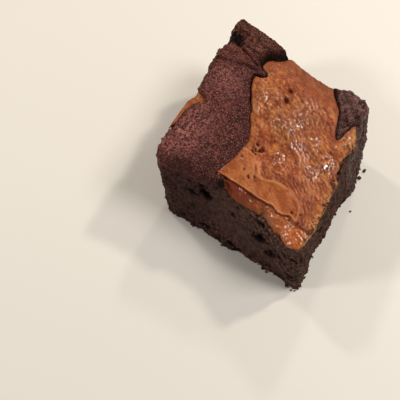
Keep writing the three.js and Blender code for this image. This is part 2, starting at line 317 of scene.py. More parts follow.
def distance_to(loop, xy, chunk=3000):
    """Signed distance from plan points to a closed outline, positive outside it."""
    start = loop
    edge = np.roll(loop, -1, axis=0) - start
    length2 = np.sum(edge**2, axis=1)
    result = np.empty(len(xy))
    for first in range(0, len(xy), chunk):
        p = xy[first:first + chunk, None, :]
        rel = p - start
        t = np.clip(np.sum(rel * edge, axis=2) / length2, 0, 1)
        nearest = np.min(np.linalg.norm(rel - t[..., None] * edge, axis=2), axis=1)
        y0 = start[:, 1]
        y1 = y0 + edge[:, 1]
        spans = (y0 > p[..., 1]) != (y1 > p[..., 1])
        with np.errstate(divide="ignore", invalid="ignore"):
            cross_x = start[:, 0] + (p[..., 1] - y0) * edge[:, 0] / edge[:, 1]
        inside = np.sum(spans & (p[..., 0] < cross_x), axis=1) % 2 == 1
        result[first:first + chunk] = np.where(inside, -nearest, nearest)
    return result


def distance_to_line(line, xy):
    """Distance from plan points to an open line given by places on the top."""
    u, v = np.array(line).T
    corners = plan(u, v)
    result = np.full(len(xy), 99.0)
    for start, end in zip(corners, corners[1:]):
        edge = end - start
        t = np.clip(((xy - start) @ edge) / (edge @ edge), 0, 1)
        result = np.minimum(result, np.linalg.norm(xy - start - t[:, None] * edge, axis=1))
    return result


SWIRL_EDGE = outline(SWIRL)
DAB_EDGE = outline(DAB)


# The crust and the caramel as heights over the plane of the top corners
CRACKS = [
    ([(-0.03, 0.683), (0.064, 0.699), (0.157, 0.737), (0.23, 0.762), (0.27, 0.765)], 0.45, 0.5),
    ([(-0.03, 0.885), (0.02, 0.875), (0.056, 0.856), (0.12, 0.826), (0.18, 0.812), (0.25, 0.8)], 1.5, 0.8),
    ([(0.03, 0.93), (0.1, 0.905), (0.17, 0.9)], 0.6, 0.6),
    ([(0.13, 0.86), (0.2, 0.85), (0.26, 0.872)], 0.7, 0.6),
    ([(0.2, 0.91), (0.27, 0.925)], 0.5, 0.5),
    ([(0.9, 0.78), (0.93, 0.83), (0.99, 0.85)], 0.8, 0.5),
    ([(0.86, 0.86), (0.9, 0.9), (0.96, 0.905)], 0.5, 0.5),
    ([(0.02, 0.56), (0.1, 0.575), (0.16, 0.56)], 0.35, 0.5),
]


def crack_depth(xy):
    """Depth of the cracks in the crust, in millimetres."""
    ragged = 0.4 * uneven(xy, 1.8, 4.4) + 0.25 * uneven(xy, 0.8, 6.1)
    total = np.zeros(len(xy))
    for line, depth, half_width in CRACKS:
        across = (distance_to_line(line, xy) + ragged) / half_width
        total = np.maximum(total, depth * fade(0, 1, across))
    return total


def plate_amount(u, v):
    """1 on the raised plate of crust at the back left corner."""
    return smooth(0, 0.03, v - 0.885 + 0.33 * np.clip(u, 0, 0.26)) * fade(0.44, 0.5, u)


def cap_amount(u, v, xy):
    """1 on the smoother tongue of crust in front of the plate."""
    line = 0.683 + 0.34 * u + 0.006 * uneven(xy, 4.0, 2.2)
    return smooth(line, line + 0.012, v) * fade(0.24, 0.29, u) * (1 - plate_amount(u, v))


def hollow_amount(u, v, xy):
    """1 in the dark hollow where the plate came away from the crust in front of it."""
    bent = 0.03 * uneven(xy, 3.0, 7.7) + 0.02 * uneven(xy, 1.3, 2.9)
    return hill(u + bent, v - 0.2 * u + bent, 0.045, 0.86, 0.065, 0.045)


def crust_relief(u, v, xy):
    """Height of the crust over the plane of the top corners."""
    from_swirl = distance_to(SWIRL_EDGE, xy)
    from_dab = distance_to(DAB_EDGE, xy)
    shoulder = -SHOULDER_DROP * fade(-1, 6, from_swirl) * smooth(0.12, 0.4, v)
    plate = (PLATE_RISE + 0.3) * plate_amount(u, v)
    cap = 0.45 * cap_amount(u, v, xy)
    left_gap = 1.6 * smooth(0.56, 0.62, v) * fade(0.76, 0.8, v) * fade(0.4, 0.45, u)
    plate_gap = 2.6 * smooth(0.8, 0.84, v) * fade(0.42, 0.5, u)
    groove_depth = 0.6 * smooth(0.3, 0.5, v) + left_gap + plate_gap
    groove = -groove_depth * fade(0.2, 0.9 + 0.7 * plate_gap, from_swirl)
    dab_groove = -0.4 * fade(0, 0.8, from_dab)
    crater = -2.2 * hollow_amount(u, v, xy)
    finger_gap = -1.4 * hill(u, v, 0.885, 0.77, 0.02, 0.05)
    corner_bumps = 0.9 * uneven(xy, 3.4, 9.4) + 0.5 * np.abs(uneven(xy, 1.7, 5.2))
    corner_bumps = corner_bumps * smooth(0.8, 0.86, u) * smooth(0.68, 0.74, v)
    peak = 0.3 * hill(u, v, 0, 1, 0.06, 0.06)
    return (sum_of_forms(CRUST_FORMS, u, v) + shoulder + plate + cap + groove + dab_groove
            + crater + finger_gap + corner_bumps + peak - crack_depth(xy))


def beside_plate(u, v):
    """1 on the back part of the swirl that lies against the plate."""
    return smooth(0.8, 0.84, v) * fade(0.42, 0.5, u)


def strip_width(u):
    """The strip is broader at the right."""
    return STRIP_WIDTH + BROAD_STRIP * smooth(0.77, 0.87, u)


def strip_amount(u, v):
    """1 in the dragged strip along the front edge, 0 on the sheet behind it."""
    return fade(-0.5, 0.2, behind_front(u, v) - strip_width(u))


def lip_wander(xy):
    """How far the lip over the strip strays from its line, in millimetres."""
    return 0.35 * uneven(xy, 4.0, 7.0) + 0.15 * uneven(xy, 1.4, 1.2)


def sheet_amount(u, v):
    """1 on the smooth matte skin at the front of the swirl, 0 where it blistered."""
    left_fold = smooth(0.012, -0.012, u - 0.5 - 0.55 * (0.33 - v)) * smooth(0.39, 0.34, v)
    lens = smooth(1, -0.4, lens_distance(u, v))
    return np.clip(left_fold + lens, 0, 1) * (1 - strip_amount(u, v))


def bubbles(points, size, shift):
    """Round bumps, 1 at their middle."""
    distance, number = cells(points, size, shift)
    return np.clip(1 - (distance / (0.45 + 0.3 * number)) ** 2, 0, 1)


SMALL_PITS = [(0.45, 0.27), (0.5, 0.21), (0.545, 0.185), (0.578, 0.2), (0.72, 0.265), (0.86, 0.15),
              (0.908, 0.16), (0.918, 0.108), (0.865, 0.112), (0.492, 0.385), (0.478, 0.36),
              (0.505, 0.345), (0.53, 0.36), (0.487, 0.335), (0.515, 0.325), (0.54, 0.375)]
PIT_DEPTH = 0.8
PIT_RADIUS = 0.008
STREAK_ANGLE = math.radians(-38)
# Where the caramel blistered most: u, v, radius in u, radius in v, strength
BLISTER_AREAS = [(0.385, 0.61, 0.035, 0.09, 0.5), (0.45, 0.69, 0.06, 0.05, 0.4),
                 (0.56, 0.57, 0.07, 0.06, 0.7), (0.65, 0.63, 0.06, 0.06, 0.8),
                 (0.72, 0.49, 0.07, 0.045, 0.7), (0.84, 0.41, 0.05, 0.04, 1.0),
                 (0.92, 0.52, 0.04, 0.06, 1.0), (0.68, 0.79, 0.07, 0.04, 0.5),
                 (0.66, 0.38, 0.06, 0.05, 0.5), (0.31, 0.78, 0.04, 0.04, 0.5),
                 (0.8, 0.59, 0.04, 0.04, 0.5), (0.95, 0.72, 0.03, 0.06, 0.7),
                 (0.04, 0.42, 0.05, 0.04, 0.5)]
# Lines in the skin: the edge of the smooth flap at the front, and a fold that runs down to it
FLAP_LINE = [(0.435, 0.312), (0.494, 0.321), (0.563, 0.276), (0.589, 0.214), (0.64, 0.22), (0.7, 0.242),
             (0.8, 0.246), (0.879, 0.211), (0.9, 0.158), (0.89, 0.1)]
FOLD_LINE = [(0.5, 0.37), (0.515, 0.31), (0.53, 0.27), (0.57, 0.2)]
# Where the caramel took a tint: u, v, radius in u, radius in v, strength
OLIVE_AREAS = [(0.36, 0.68, 0.04, 0.05, 0.8), (0.536, 0.54, 0.05, 0.04, 0.8),
               (0.62, 0.52, 0.04, 0.05, 0.8), (0.91, 0.456, 0.04, 0.04, 0.8),
               (0.708, 0.69, 0.05, 0.04, 0.8), (0.45, 0.6, 0.06, 0.06, 0.5), (0.6, 0.7, 0.06, 0.05, 0.6),
               (0.83, 0.5, 0.06, 0.05, 0.5)]
GOLD_AREAS = [(0.95, 0.74, 0.045, 0.09, 1.0), (1.0, 0.36, 0.03, 0.09, 0.9), (0.99, 0.6, 0.025, 0.07, 0.8),
              (0.385, 0.6, 0.025, 0.1, 0.8), (0.33, 0.8, 0.04, 0.04, 0.6), (0.03, 0.41, 0.05, 0.04, 0.8)]
RED_AREAS = [(0.64, 0.88, 0.13, 0.05, 0.9), (0.611, 0.341, 0.08, 0.04, 0.7),
             (0.871, 0.25, 0.08, 0.06, 0.9), (0.45, 0.84, 0.05, 0.06, 0.5), (0.5, 0.46, 0.05, 0.06, 0.6),
             (0.75, 0.33, 0.1, 0.05, 0.6)]
TINT_AREAS = {"olive": OLIVE_AREAS, "gold": GOLD_AREAS, "red": RED_AREAS}
# Hollows and lumps of the dragged strip: u, v, radius in u, radius in v, height
STRIP_FORMS = [(0.52, 0.08, 0.055, 0.022, -0.7), (0.56, 0.085, 0.02, 0.02, 0.6),
               (0.64, 0.08, 0.025, 0.02, 0.5), (0.71, 0.085, 0.02, 0.018, -0.5),
               (0.86, 0.02, 0.05, 0.03, 0.3), (0.78, 0.07, 0.03, 0.02, 0.6)]
# The wet red hollow at the left of the strip: u, v, radius in u, radius in v
POCKET = (0.53, 0.07, 0.075, 0.045)
LENS_U = 0.73
LENS_V = 0.12
LENS_RADIUS_U = 0.15
LENS_RADIUS_V = 0.125


def small_pits(u, v, xy):
    """1 in the small pits of the skin, which have uneven edges."""
    bent = 0.006 * uneven(xy, 1.1, 6.3)
    round_pits = sum(hill(u + bent, v - bent, pu, pv, PIT_RADIUS, PIT_RADIUS) for pu, pv in SMALL_PITS)
    patch = 1.1 * hill(u, v, 0.508, 0.355, 0.036, 0.034) * smooth(0.0, 0.25, uneven(xy, 1.5, 4.9))
    return np.clip(round_pits + patch, 0, 1)


def lens_distance(u, v):
    """Distance out from the flap of smooth skin at the front, in eighths of its own radius."""
    return (np.hypot((u - LENS_U) / LENS_RADIUS_U, (v - LENS_V) / LENS_RADIUS_V) - 1) * 8


def blister_strength(u, v):
    areas = sum_of_forms(BLISTER_AREAS, u, v)
    calm = (1 - 0.93 * sheet_amount(u, v)) * (1 - 0.4 * strip_amount(u, v))
    return np.clip(0.27 + 0.85 * areas, 0, 1.15) * calm


def streaked(xy, squeeze):
    """Plan points turned along the streaks of the swirl and squeezed across them."""
    c, s = math.cos(STREAK_ANGLE), math.sin(STREAK_ANGLE)
    with_streaks = c * xy[:, 0] + s * xy[:, 1]
    across = squeeze * (c * xy[:, 1] - s * xy[:, 0])
    return flat_points(np.column_stack([with_streaks, across]))


def skin_bumps(xy):
    """Height of the blistered skin, 0 in the creases and about 1 on the bumps."""
    bent = streaked(xy, 1.9) + 0.8 * uneven(xy, 3.0, 4.0)[:, None]
    large = np.abs(noise(bent, 3.9, 2.0))
    middle = np.abs(noise(bent, 2.1, 6.0))
    small = np.abs(uneven(xy, 1.15, 3.0))
    return 1.5 * large + middle * (0.5 + large) + 0.22 * small


def streak_tone(xy):
    """0 to 1 in fine uneven streaks that follow the swirl."""
    bent = streaked(xy, 2.3) + 2.2 * uneven(xy, 7.0, 1.0)[:, None] + 0.8 * uneven(xy, 2.6, 5.0)[:, None]
    return np.clip(0.5 + 0.65 * layered(bent, 4.6, 4, 2.5), 0, 1)


def wrinkle_wave(u, v, xy):
    """Fine folds that run round the smooth flap, -1 to 1, and how strong they are."""
    out = lens_distance(u, v)
    wave = np.sin(out * 5.2 + 4.5 * uneven(xy, 5.0, 3.0) + 1.5 * uneven(xy, 1.8, 2.0))
    amount = smooth(0, 0.8, out) * fade(5, 9, out) * smooth(0.56, 0.66, u) * (1 - strip_amount(u, v))
    return wave, amount * (0.45 + 0.55 * smooth(-0.3, 0.3, uneven(xy, 4.0, 8.0)))


def line_ridge(line, xy, half_width):
    """1 along a line in the skin that wanders a little."""
    wander = 0.5 * uneven(xy, 2.6, 3.7) + 0.2 * uneven(xy, 1.0, 1.9)
    return bell(distance_to_line(line, xy) + wander, 0, half_width)


def strip_relief(u, v, xy):
    """Heights to add up for the dragged strip and the lip over it."""
    from_front = behind_front(u, v) + lip_wander(xy)
    behind_lip = from_front - strip_width(u)
    drop = mix(STRIP_DROP, STRIP_DROP_AT_CORNER, smooth(0.84, 0.95, u))
    strip = -drop * np.maximum(1 - np.maximum(from_front, 0) / strip_width(u), 0) ** 1.2
    lip = -LIP_STEP * fade(-0.4, -0.05, behind_lip)
    lip_roll = 0.22 * bell(behind_lip, 0.3, 0.35) * smooth(0.38, 0.44, u)
    under_lip_groove_and_shade = -0.2 * bell(behind_lip, -0.45, 0.2)
    lumps = (0.8 * uneven(xy, 4.2, 5.5) + 0.5 * uneven(xy, 1.7, 2.5)) * strip_amount(u, v)
    lumps = lumps * (1 - 0.4 * hill(u, v, *POCKET)) * (1 - 0.75 * smooth(0.8, 0.87, u))
    return [strip, lip, lip_roll, under_lip_groove_and_shade, lumps + sum_of_forms(STRIP_FORMS, u, v)]


def skin_relief(u, v, xy):
    """Heights to add up for the smooth skin, the blisters, the wrinkles and the two lines in the skin."""
    streaky = streaked(xy, 2.4)
    sheet = sheet_amount(u, v)
    skin = (0.12 * uneven(xy, 3.2, 6.6) + 0.05 * uneven(xy, 1.2, 3.1)) * sheet
    blisters = 0.65 * skin_bumps(xy) + 0.3 * layered(streaky, 4.2, 2)
    blisters = blisters + 0.18 * bubbles(flat_points(xy), 1.9, 5.0)
    wave, wave_amount = wrinkle_wave(u, v, xy)
    wrinkles = 0.07 * wave * wave_amount + 0.25 * layered(streaky, 2.0, 2, 3.0) * (1 - sheet)
    ridges = 0.42 * line_ridge(FLAP_LINE, xy, 0.55) + 0.28 * line_ridge(FOLD_LINE, xy, 0.5)
    return [skin, blisters * blister_strength(u, v), wrinkles, ridges * (1 - strip_amount(u, v))]


def edge_curl(u, v, xy):
    """The caramel rolls down at its edge, most beside the plate."""
    inside = -distance_to(SWIRL_EDGE, xy)
    at_plate = beside_plate(u, v)
    bead = 1.2 + at_plate
    depth = 0.8 + 1.4 * at_plate - 0.6 * fade(0.25, 0.45, v)
    rolled = 1 - np.sqrt(1 - (1 - np.clip(inside / bead, 0, 1)) ** 2)
    return -depth * rolled * smooth(-3, -0.5, inside)


def caramel_relief(u, v, xy):
    """Height of the caramel over the plane of the top corners."""
    level = SHEET_RISE * fade(0.2, 0.45, v) - BACK_SINK * smooth(0.8, 0.96, v) - CARAMEL_SINK
    folds = 0.3 * np.sin(15 * u + 8 * v) + 0.3 * np.sin(9 * u - 19 * v + 1) * np.sin(6 * v)
    heights = [level, folds, sum_of_forms(CARAMEL_FORMS, u, v)]
    heights += strip_relief(u, v, xy)
    heights += skin_relief(u, v, xy)
    heights += [edge_curl(u, v, xy), -PIT_DEPTH * small_pits(u, v, xy)]
    return sum(heights)


def crust_edge_radius(u, v):
    soft = fade(0.3, 0.5, u) * fade(0.8, 0.95, v) * (1 - 0.6 * hill(u, v, 0, 0, 0.14, 0.1))
    at_corner = hill(u, v, 1, 1, 0.15, 0.15)
    return (CRUST_EDGE_RADIUS + (SOFT_EDGE_RADIUS - CRUST_EDGE_RADIUS) * soft
            + (CORNER_CRUST_RADIUS - CRUST_EDGE_RADIUS) * at_corner)


def caramel_edge_radius(u, v):
    return CARAMEL_EDGE_RADIUS + 0 * u


def wall_relief(side, level):
    ragged = 0.4 * sum_of_waves(FOOT_WAVES, side, level) * fade(0, 0.25, level)
    surface = sum_of_waves(WALL_WAVES, side, level) + sum_of_forms(WALL_TEARS, side, level) + ragged
    return surface * smooth(0, 0.12, 1 - level)


# The whole block as one closed mesh
def spread(count):
    """Places from 0 to 1, a little closer together near both ends."""
    t = np.linspace(0, 1, count + 1)
    return mix(t, 0.5 - 0.5 * np.cos(math.pi * t), 0.25)


def round_corner(a, b):
    """Places on the unit square, drawn in where the block's corners are round."""
    radius = np.select(
        [(a < 0.5) & (b < 0.5), (a >= 0.5) & (b < 0.5), (a < 0.5) & (b >= 0.5)],
        [CORNER_RADIUS[0][0], CORNER_RADIUS[0][1], CORNER_RADIUS[1][0]],
        CORNER_RADIUS[1][1],
    )
    px = 1 - np.minimum(a, 1 - a) * WIDTH / radius
    py = 1 - np.minimum(b, 1 - b) * DEPTH / radius
    rounded = (px > 0) & (py > 0)
    in_x = radius * (1 - px * np.sqrt(np.maximum(1 - py * py / 2, 0))) / WIDTH
    in_y = radius * (1 - py * np.sqrt(np.maximum(1 - px * px / 2, 0))) / DEPTH
    ra = np.where(rounded, np.where(a < 0.5, in_x, 1 - in_x), a)
    rb = np.where(rounded, np.where(b < 0.5, in_y, 1 - in_y), b)
    return ra, rb


def top_place(a, b):
    ra, rb = round_corner(a, b)
    u = ra + mix(along(LEFT_EDGE, rb), along(RIGHT_EDGE, rb), ra)
    v = rb + mix(along(FRONT_EDGE, ra), along(BACK_EDGE, ra), rb)
    return u, v


def wall_points(a, b, level):
    ra, rb = round_corner(a, b)
    top = between(TOP_CORNERS, *top_place(a, b))[:, :2]
    foot = between(FOOT_CORNERS, ra + along(RIGHT_FOOT, rb) * ra, rb)[:, :2]
    return mix(foot, top, level) + MIDDLE


def edge_walk(count):
    """Places (i, j, a, b, side) round the edge of the unit square, anticlockwise from the front left."""
    places = spread(count)
    steps = np.arange(count)
    back = count - steps
    zero = np.zeros(count, int)
    full = zero + count
    i = np.concatenate([steps, full, back, zero])
    j = np.concatenate([zero, steps, full, back])
    a = places[i]
    b = places[j]
    side = np.concatenate([places[steps], 1 + places[steps], 3 - places[back], 4 - places[back]])
    return i, j, a, b, side


def grid_faces(n):
    """Faces of a grid of n by n cells, as seen from above."""
    first = (np.arange(n)[:, None] * (n + 1) + np.arange(n)[None, :]).ravel()
    return np.column_stack([first, first + 1, first + n + 2, first + n + 1])


def block_top(relief, edge_radius, n):
    """Points of the top as a grid with rounded edges, and which of them lie on its rim."""
    places = spread(n)
    a, b = (g.ravel() for g in np.meshgrid(places, places))
    i, j, *_ = edge_walk(n)
    rim = j * (n + 1) + i
    u, v = top_place(a, b)
    xy = plan(u, v)
    near_rim = np.minimum(np.minimum(a, 1 - a) * WIDTH, np.minimum(b, 1 - b) * DEPTH) < SOFT_EDGE_RADIUS + 2
    inset = np.full(len(xy), 99.0)
    inset[near_rim] = np.abs(distance_to(xy[rim], xy[near_rim]))
    inset[rim] = 0
    radius = edge_radius(u, v)
    inset = np.minimum(inset, radius)
    drop = radius - np.sqrt(radius**2 - (radius - inset) ** 2)
    return np.column_stack([xy, corner_height(u, v) + relief(u, v, xy) - drop]), rim


def block_rings(n, rim_height):
    """Rings down the walls and in underneath, each with its level, then their sides and a middle point."""
    _, _, a, b, side = edge_walk(n)
    rings = []
    for level in 1 - spread(WALL_ROWS)[1:]:
        ring = wall_points(a, b, level)
        ring = ring + outward_of(ring) * wall_relief(side, level)[:, None]
        height = np.maximum(rim_height * level, FOOT_RADIUS / 4)
        rings.append((np.column_stack([ring, height]), level))
    underside = ring - outward_of(ring) * FOOT_RADIUS
    middle = underside.mean(axis=0)
    for share in (1.0,) + UNDERSIDE_RINGS:
        rings.append((np.column_stack([mix(middle, underside, share), np.zeros(len(side))]), UNDERNEATH))
    return rings, side, np.array([[*middle, 0.0]])


def block(relief, edge_radius, n):
    """Points, faces, and for each point its side and its level, which is 0 to 1, or -1 underneath."""
    top, upper = block_top(relief, edge_radius, n)
    rings, side, last = block_rings(n, top[upper, 2])
    faces = grid_faces(n).tolist()
    count = len(side)
    total = len(top)
    for _ in rings:
        lower = total + np.arange(count)
        faces += np.column_stack([upper, lower, np.roll(lower, -1), np.roll(upper, -1)]).tolist()
        upper = lower
        total += count
    faces += [[int(upper[k]), total, int(upper[(k + 1) % count])] for k in range(count)]
    points = np.concatenate([top] + [ring for ring, _ in rings] + [last])
    sides = np.concatenate([np.full(len(top), NO_SIDE)] + [side] * len(rings) + [np.zeros(1)])
    levels = [np.ones(len(top))] + [np.full(count, level) for _, level in rings] + [np.full(1, UNDERNEATH)]
    return points, faces, sides, np.concatenate(levels)


# Meshes
def make_mesh(name, points, faces):
    mesh = bpy.data.meshes.new(name)
    mesh.from_pydata((points * MM).tolist(), [], faces)
    mesh.update()
    piece = bpy.data.objects.new(name, mesh)
    bpy.context.scene.collection.objects.link(piece)
    return piece


def points_of(piece):
    co = np.empty(len(piece.data.vertices) * 3)
    piece.data.vertices.foreach_get("co", co)
    return co.reshape(-1, 3) / MM


def normals_of(piece):
    co = np.empty(len(piece.data.vertices) * 3)
    piece.data.vertices.foreach_get("normal", co)
    return co.reshape(-1, 3)


def move_points(piece, points):
    piece.data.vertices.foreach_set("co", (points * MM).ravel())
    piece.data.update()


def combine(piece, other, operation):
    """Boolean of two closed meshes, applied to the first."""
    modifier = piece.modifiers.new("cut", "BOOLEAN")
    modifier.operation = operation
    modifier.solver = "MANIFOLD"
    modifier.object = other
    bpy.context.view_layer.update()
    shaped = piece.evaluated_get(bpy.context.evaluated_depsgraph_get())
    result = bpy.data.meshes.new_from_object(shaped)
    piece.modifiers.clear()
    old = piece.data
    piece.data = result
    bpy.data.meshes.remove(old)


def drop_slivers(piece):
    """Removes pairs of faces that lie back to back on the same points, which a cut can leave loose."""
    form = bmesh.new()
    form.from_mesh(piece.data)
    faces_on = {}
    for face in form.faces:
        faces_on.setdefault(frozenset(vertex.index for vertex in face.verts), []).append(face)
    doubled = [face for faces in faces_on.values() if len(faces) > 1 for face in faces]
    bmesh.ops.delete(form, geom=doubled, context="FACES")
    form.to_mesh(piece.data)
    form.free()


def drop_piece(piece):
    mesh = piece.data
    bpy.data.objects.remove(piece)
    bpy.data.meshes.remove(mesh)


def smooth_shade(piece):
    piece.data.polygons.foreach_set("use_smooth", [True] * len(piece.data.polygons))
    piece.data.update()


def paint(piece, values):
    """Stores numbers for each point under their names, for the material to read."""
    for name, numbers in values.items():
        layer = piece.data.attributes.new(name, "FLOAT", "POINT")
        layer.data.foreach_set("value", np.asarray(numbers, np.float32))


def nearest_values(source_points, values, points):
    """Values of the nearest source points: a cut keeps most points where they were."""
    tree = KDTree(len(source_points))
    for index, point in enumerate(source_points):
        tree.insert(point, index)
    tree.balance()
    picked = [tree.find(point)[1] for point in points]
    return {name: numbers[picked] for name, numbers in values.items()}


class Surface:
    """The points of a piece, with their places on the brownie."""

    def __init__(self, piece):
        self.points = points_of(piece)
        self.normals = normals_of(piece)
        self.xy = self.points[:, :2]
        self.u, self.v = place_of(self.xy)
        self.depth = depth_under_top(self.points, self.u, self.v)
        self.from_swirl = distance_to(SWIRL_EDGE, self.xy)


# The crumb and the crust
CRUST_THICKNESS = 1.3
SOFT_CRUST_THICKNESS = 4.5
# Spots of caramel baked into the crust: u, v, radius in u, radius in v, strength
OCHRE_SPOTS = [(0.153, 0.913, 0.014, 0.012, 1.0), (0.244, 0.88, 0.02, 0.012, 1.0),
               (0.247, 0.914, 0.014, 0.01, 0.8), (0.075, 0.64, 0.012, 0.01, 0.9),
               (0.12, 0.655, 0.01, 0.014, 0.7)]


def depth_under_top(points, u, v):
    """How far points lie under the plane of the top corners, in millimetres."""
    return corner_height(np.clip(u, 0, 1), np.clip(v, 0, 1)) - points[:, 2]


def crust_amount(points, u, v):
    """1 on the baked crust, 0 on the cut crumb under it."""
    depth = depth_under_top(points, u, v)
    soft = fade(0.2, 0.42, u) * fade(0.2, 0.4, v)
    ragged = 0.8 * noise(points, 3.0, 2.0) + (0.7 + 2.0 * soft) * noise(points, 1.1, 5.0)
    thick = mix(CRUST_THICKNESS, SOFT_CRUST_THICKNESS, soft) + ragged
    bite = smooth(0.94, 0.955, u) * smooth(0.49, 0.51, v) * fade(0.66, 0.68, v)
    return fade(thick, thick + 1 + 4.5 * soft, depth) * (1 - bite)


# Tears in the cuts: side (0 to 4 round the block from front left), level, half length, half height, depth
TEARS = [(0.24, 0.68, 2.6, 1.0, 1.2), (0.34, 0.73, 2.6, 1.4, 1.5), (0.33, 0.86, 2.2, 1.0, 1.2),
         (0.52, 0.62, 1.2, 0.9, 1.1), (0.72, 0.55, 3.0, 2.6, 2.0), (0.76, 0.34, 2.6, 1.3, 1.6),
         (0.8, 0.4, 2.2, 1.3, 1.6), (0.86, 0.48, 2.8, 1.4, 1.7), (0.93, 0.27, 2.0, 1.2, 1.4),
         (0.9, 0.68, 1.8, 0.9, 1.2), (0.96, 0.7, 1.8, 0.9, 1.2), (0.72, 0.84, 3.2, 0.8, 1.4),
         (0.78, 0.81, 2.3, 0.8, 1.2), (0.31, 0.15, 2.0, 1.0, 1.0), (0.5, 0.1, 2.0, 0.9, 1.0),
         (0.56, 0.05, 1.5, 0.8, 0.8), (1.15, 0.62, 2.0, 0.9, 1.0), (1.32, 0.3, 2.4, 1.2, 1.2),
         (1.55, 0.7, 1.8, 0.9, 1.0), (1.78, 0.45, 2.2, 1.0, 1.0), (2.3, 0.5, 2.2, 1.0, 1.1),
         (2.6, 0.7, 1.8, 0.9, 1.0), (3.35, 0.45, 2.4, 1.0, 1.1), (3.7, 0.65, 2.0, 0.9, 1.0)]

# The knife drew the crumb of the right cut out into upright ridges
KNIFE_DRAG = np.array([1.1, 1.1, 0.3])
# The large pores are wider than they are high
PORE_SQUASH = np.array([1, 1, 1.7])


def tear_amount(points, side, level):
    """1 at the bottom of a tear in a cut face, and the depth there in millimetres."""
    wobble = 0.7 * noise(points, 1.5, 3.3) + 0.5 * noise(points, 4.0, 1.1) - 0.12
    amount = np.zeros(len(points))
    depth = np.zeros(len(points))
    for side_at, level_at, half_length, half_height, deep in TEARS:
        across = (side - side_at) * WIDTH / half_length
        up = (level - level_at) * THICKNESS / half_height
        near = fade(0.45, 1.0, np.hypot(across, up) + wobble)
        near = np.where((np.abs(across) < 3) & (np.abs(up) < 3), near, 0)
        depth = np.where(near * deep > depth, near * deep, depth)
        amount = np.maximum(amount, near)
    return amount, depth


def rim_teeth(points, u, v):
    """The left rim of the crust is ragged, less so at the back."""
    from_left = (u - along(LEFT_EDGE, v)) * WIDTH
    teeth = (0.9 * noise(points, 1.7, 12.0) + 0.5 * noise(points, 4.0, 3.5)) * bell(from_left, 0, 1.6)
    return teeth * (1 - 0.85 * smooth(0.86, 0.97, v))


def dress_crumb(points, normals, side, level):
    """The block's points moved for grain, pores and tears, and the values that the material reads."""
    u, v = place_of(points[:, :2])
    crust = crust_amount(points, u, v)
    cap = cap_amount(u, v, points[:, :2])
    teeth = rim_teeth(points, u, v)
    grain = 0.22 * layered(points, 2.6, 3) + 0.26 * noise(points, 1.05, 4.0)
    crust_pits = pits(points, 1.3, 0.36, 0.6, 1.0) * smooth(-0.3, 0.6, noise(points, 9.0, 5.0))
    crust_push = grain * (1 - 0.5 * cap) - 0.3 * crust_pits * (1 - cap) + teeth

    smear = smooth(0.3, 0.65, hill(side, level, 0.56, 0.5, 0.36, 0.42) + 0.5 * noise(points, 8.0, 3.7))
    right_side = smooth(0.98, 1.02, side) * fade(1.98, 2.02, side)
    crumb_grain = 0.42 * layered(points, 4.0, 3, 9.0) + 0.24 * noise(points, 1.2, 2.0)
    crumb_grain = crumb_grain + 0.5 * right_side * noise(points * KNIFE_DRAG, 1.5, 3.0)
    crumb_grain = crumb_grain * (1 - 0.6 * smear)
    pores = pits(points, 2.6, 0.34, 0.6, 3.0) * (1 - 0.6 * smear)
    big_pores = pits(points * PORE_SQUASH, 7.0, 0.2, 0.5, 6.0)
    tears, tear_depth = tear_amount(points, side, level)
    foot_crumbs = fade(0, 8, points[:, 2]) * (0.4 * noise(points, 1.6, 7.0) + noise(points, 7.0, 2.0))
    crumb_push = crumb_grain - 0.6 * pores - big_pores - tear_depth + foot_crumbs + 0.6 * teeth

    push = np.where(level < 0, 0, mix(crumb_push, crust_push, crust))
    pitted = mix(np.maximum(np.maximum(pores, big_pores), tears), 0.5 * crust_pits, crust)
    pitted = np.maximum(pitted, np.clip(crack_depth(points[:, :2]) / 0.9, 0, 1) * (level >= 1))
    moved = points + normals * push[:, None]
    moved[:, 2] = np.where(level < 0, points[:, 2], np.maximum(moved[:, 2], 0.02))
    return moved, {"crust": crust, "pit": pitted, "push": push, "tear": tears * (1 - crust),
                   "smear": smear * (1 - tears)}


# How far down the caramel goes. The cutters are larger than the block, in millimetres.
DAB_SINK = 0.8
SLAB_CELLS = 160
SLAB_REACH = 44
SLAB_TOP = 60.0
PRISM_FOOT = 15.0
PRISM_TOP = 55.0


def swirl_floor(u, v):
    """The swirl thins out towards the right cut and the front right corner."""
    at_right = 1.5 * smooth(0.88, 0.98, u) * smooth(0.12, 0.3, v)
    at_corner = 2.0 * smooth(0.86, 0.98, u) * fade(0.06, 0.16, v)
    return CARAMEL_FLOOR + at_right + at_corner


def dab_floor(u, v):
    """The dab is deepest in its middle and runs out at both ends."""
    return DAB_FLOOR + 3.4 * smooth(0.03, 0.13, np.abs(v - 0.33)) - DAB_SINK


def wavy_slab(floor):
    """A block whose uneven underside limits how deep the caramel goes."""
    span = np.linspace(-SLAB_REACH, SLAB_REACH, SLAB_CELLS + 1)
    x, y = (g.ravel() for g in np.meshgrid(span, span))
    xy = np.column_stack([x, y])
    low = floor(*place_of(xy)) + 1.7 * layered(flat_points(xy), 5.0, 3, 1.5)
    points = np.concatenate([np.column_stack([xy, low]), np.column_stack([xy, np.full(len(xy), SLAB_TOP)])])
    below = grid_faces(SLAB_CELLS)[:, [0, 3, 2, 1]]
    faces = below.tolist() + (below[:, ::-1] + len(xy)).tolist()
    i, j, *_ = edge_walk(SLAB_CELLS)
    rim = j * (SLAB_CELLS + 1) + i
    after = np.roll(rim, -1)
    faces += np.column_stack([rim, after, after + len(xy), rim + len(xy)]).tolist()
    return make_mesh("slab", points, faces)


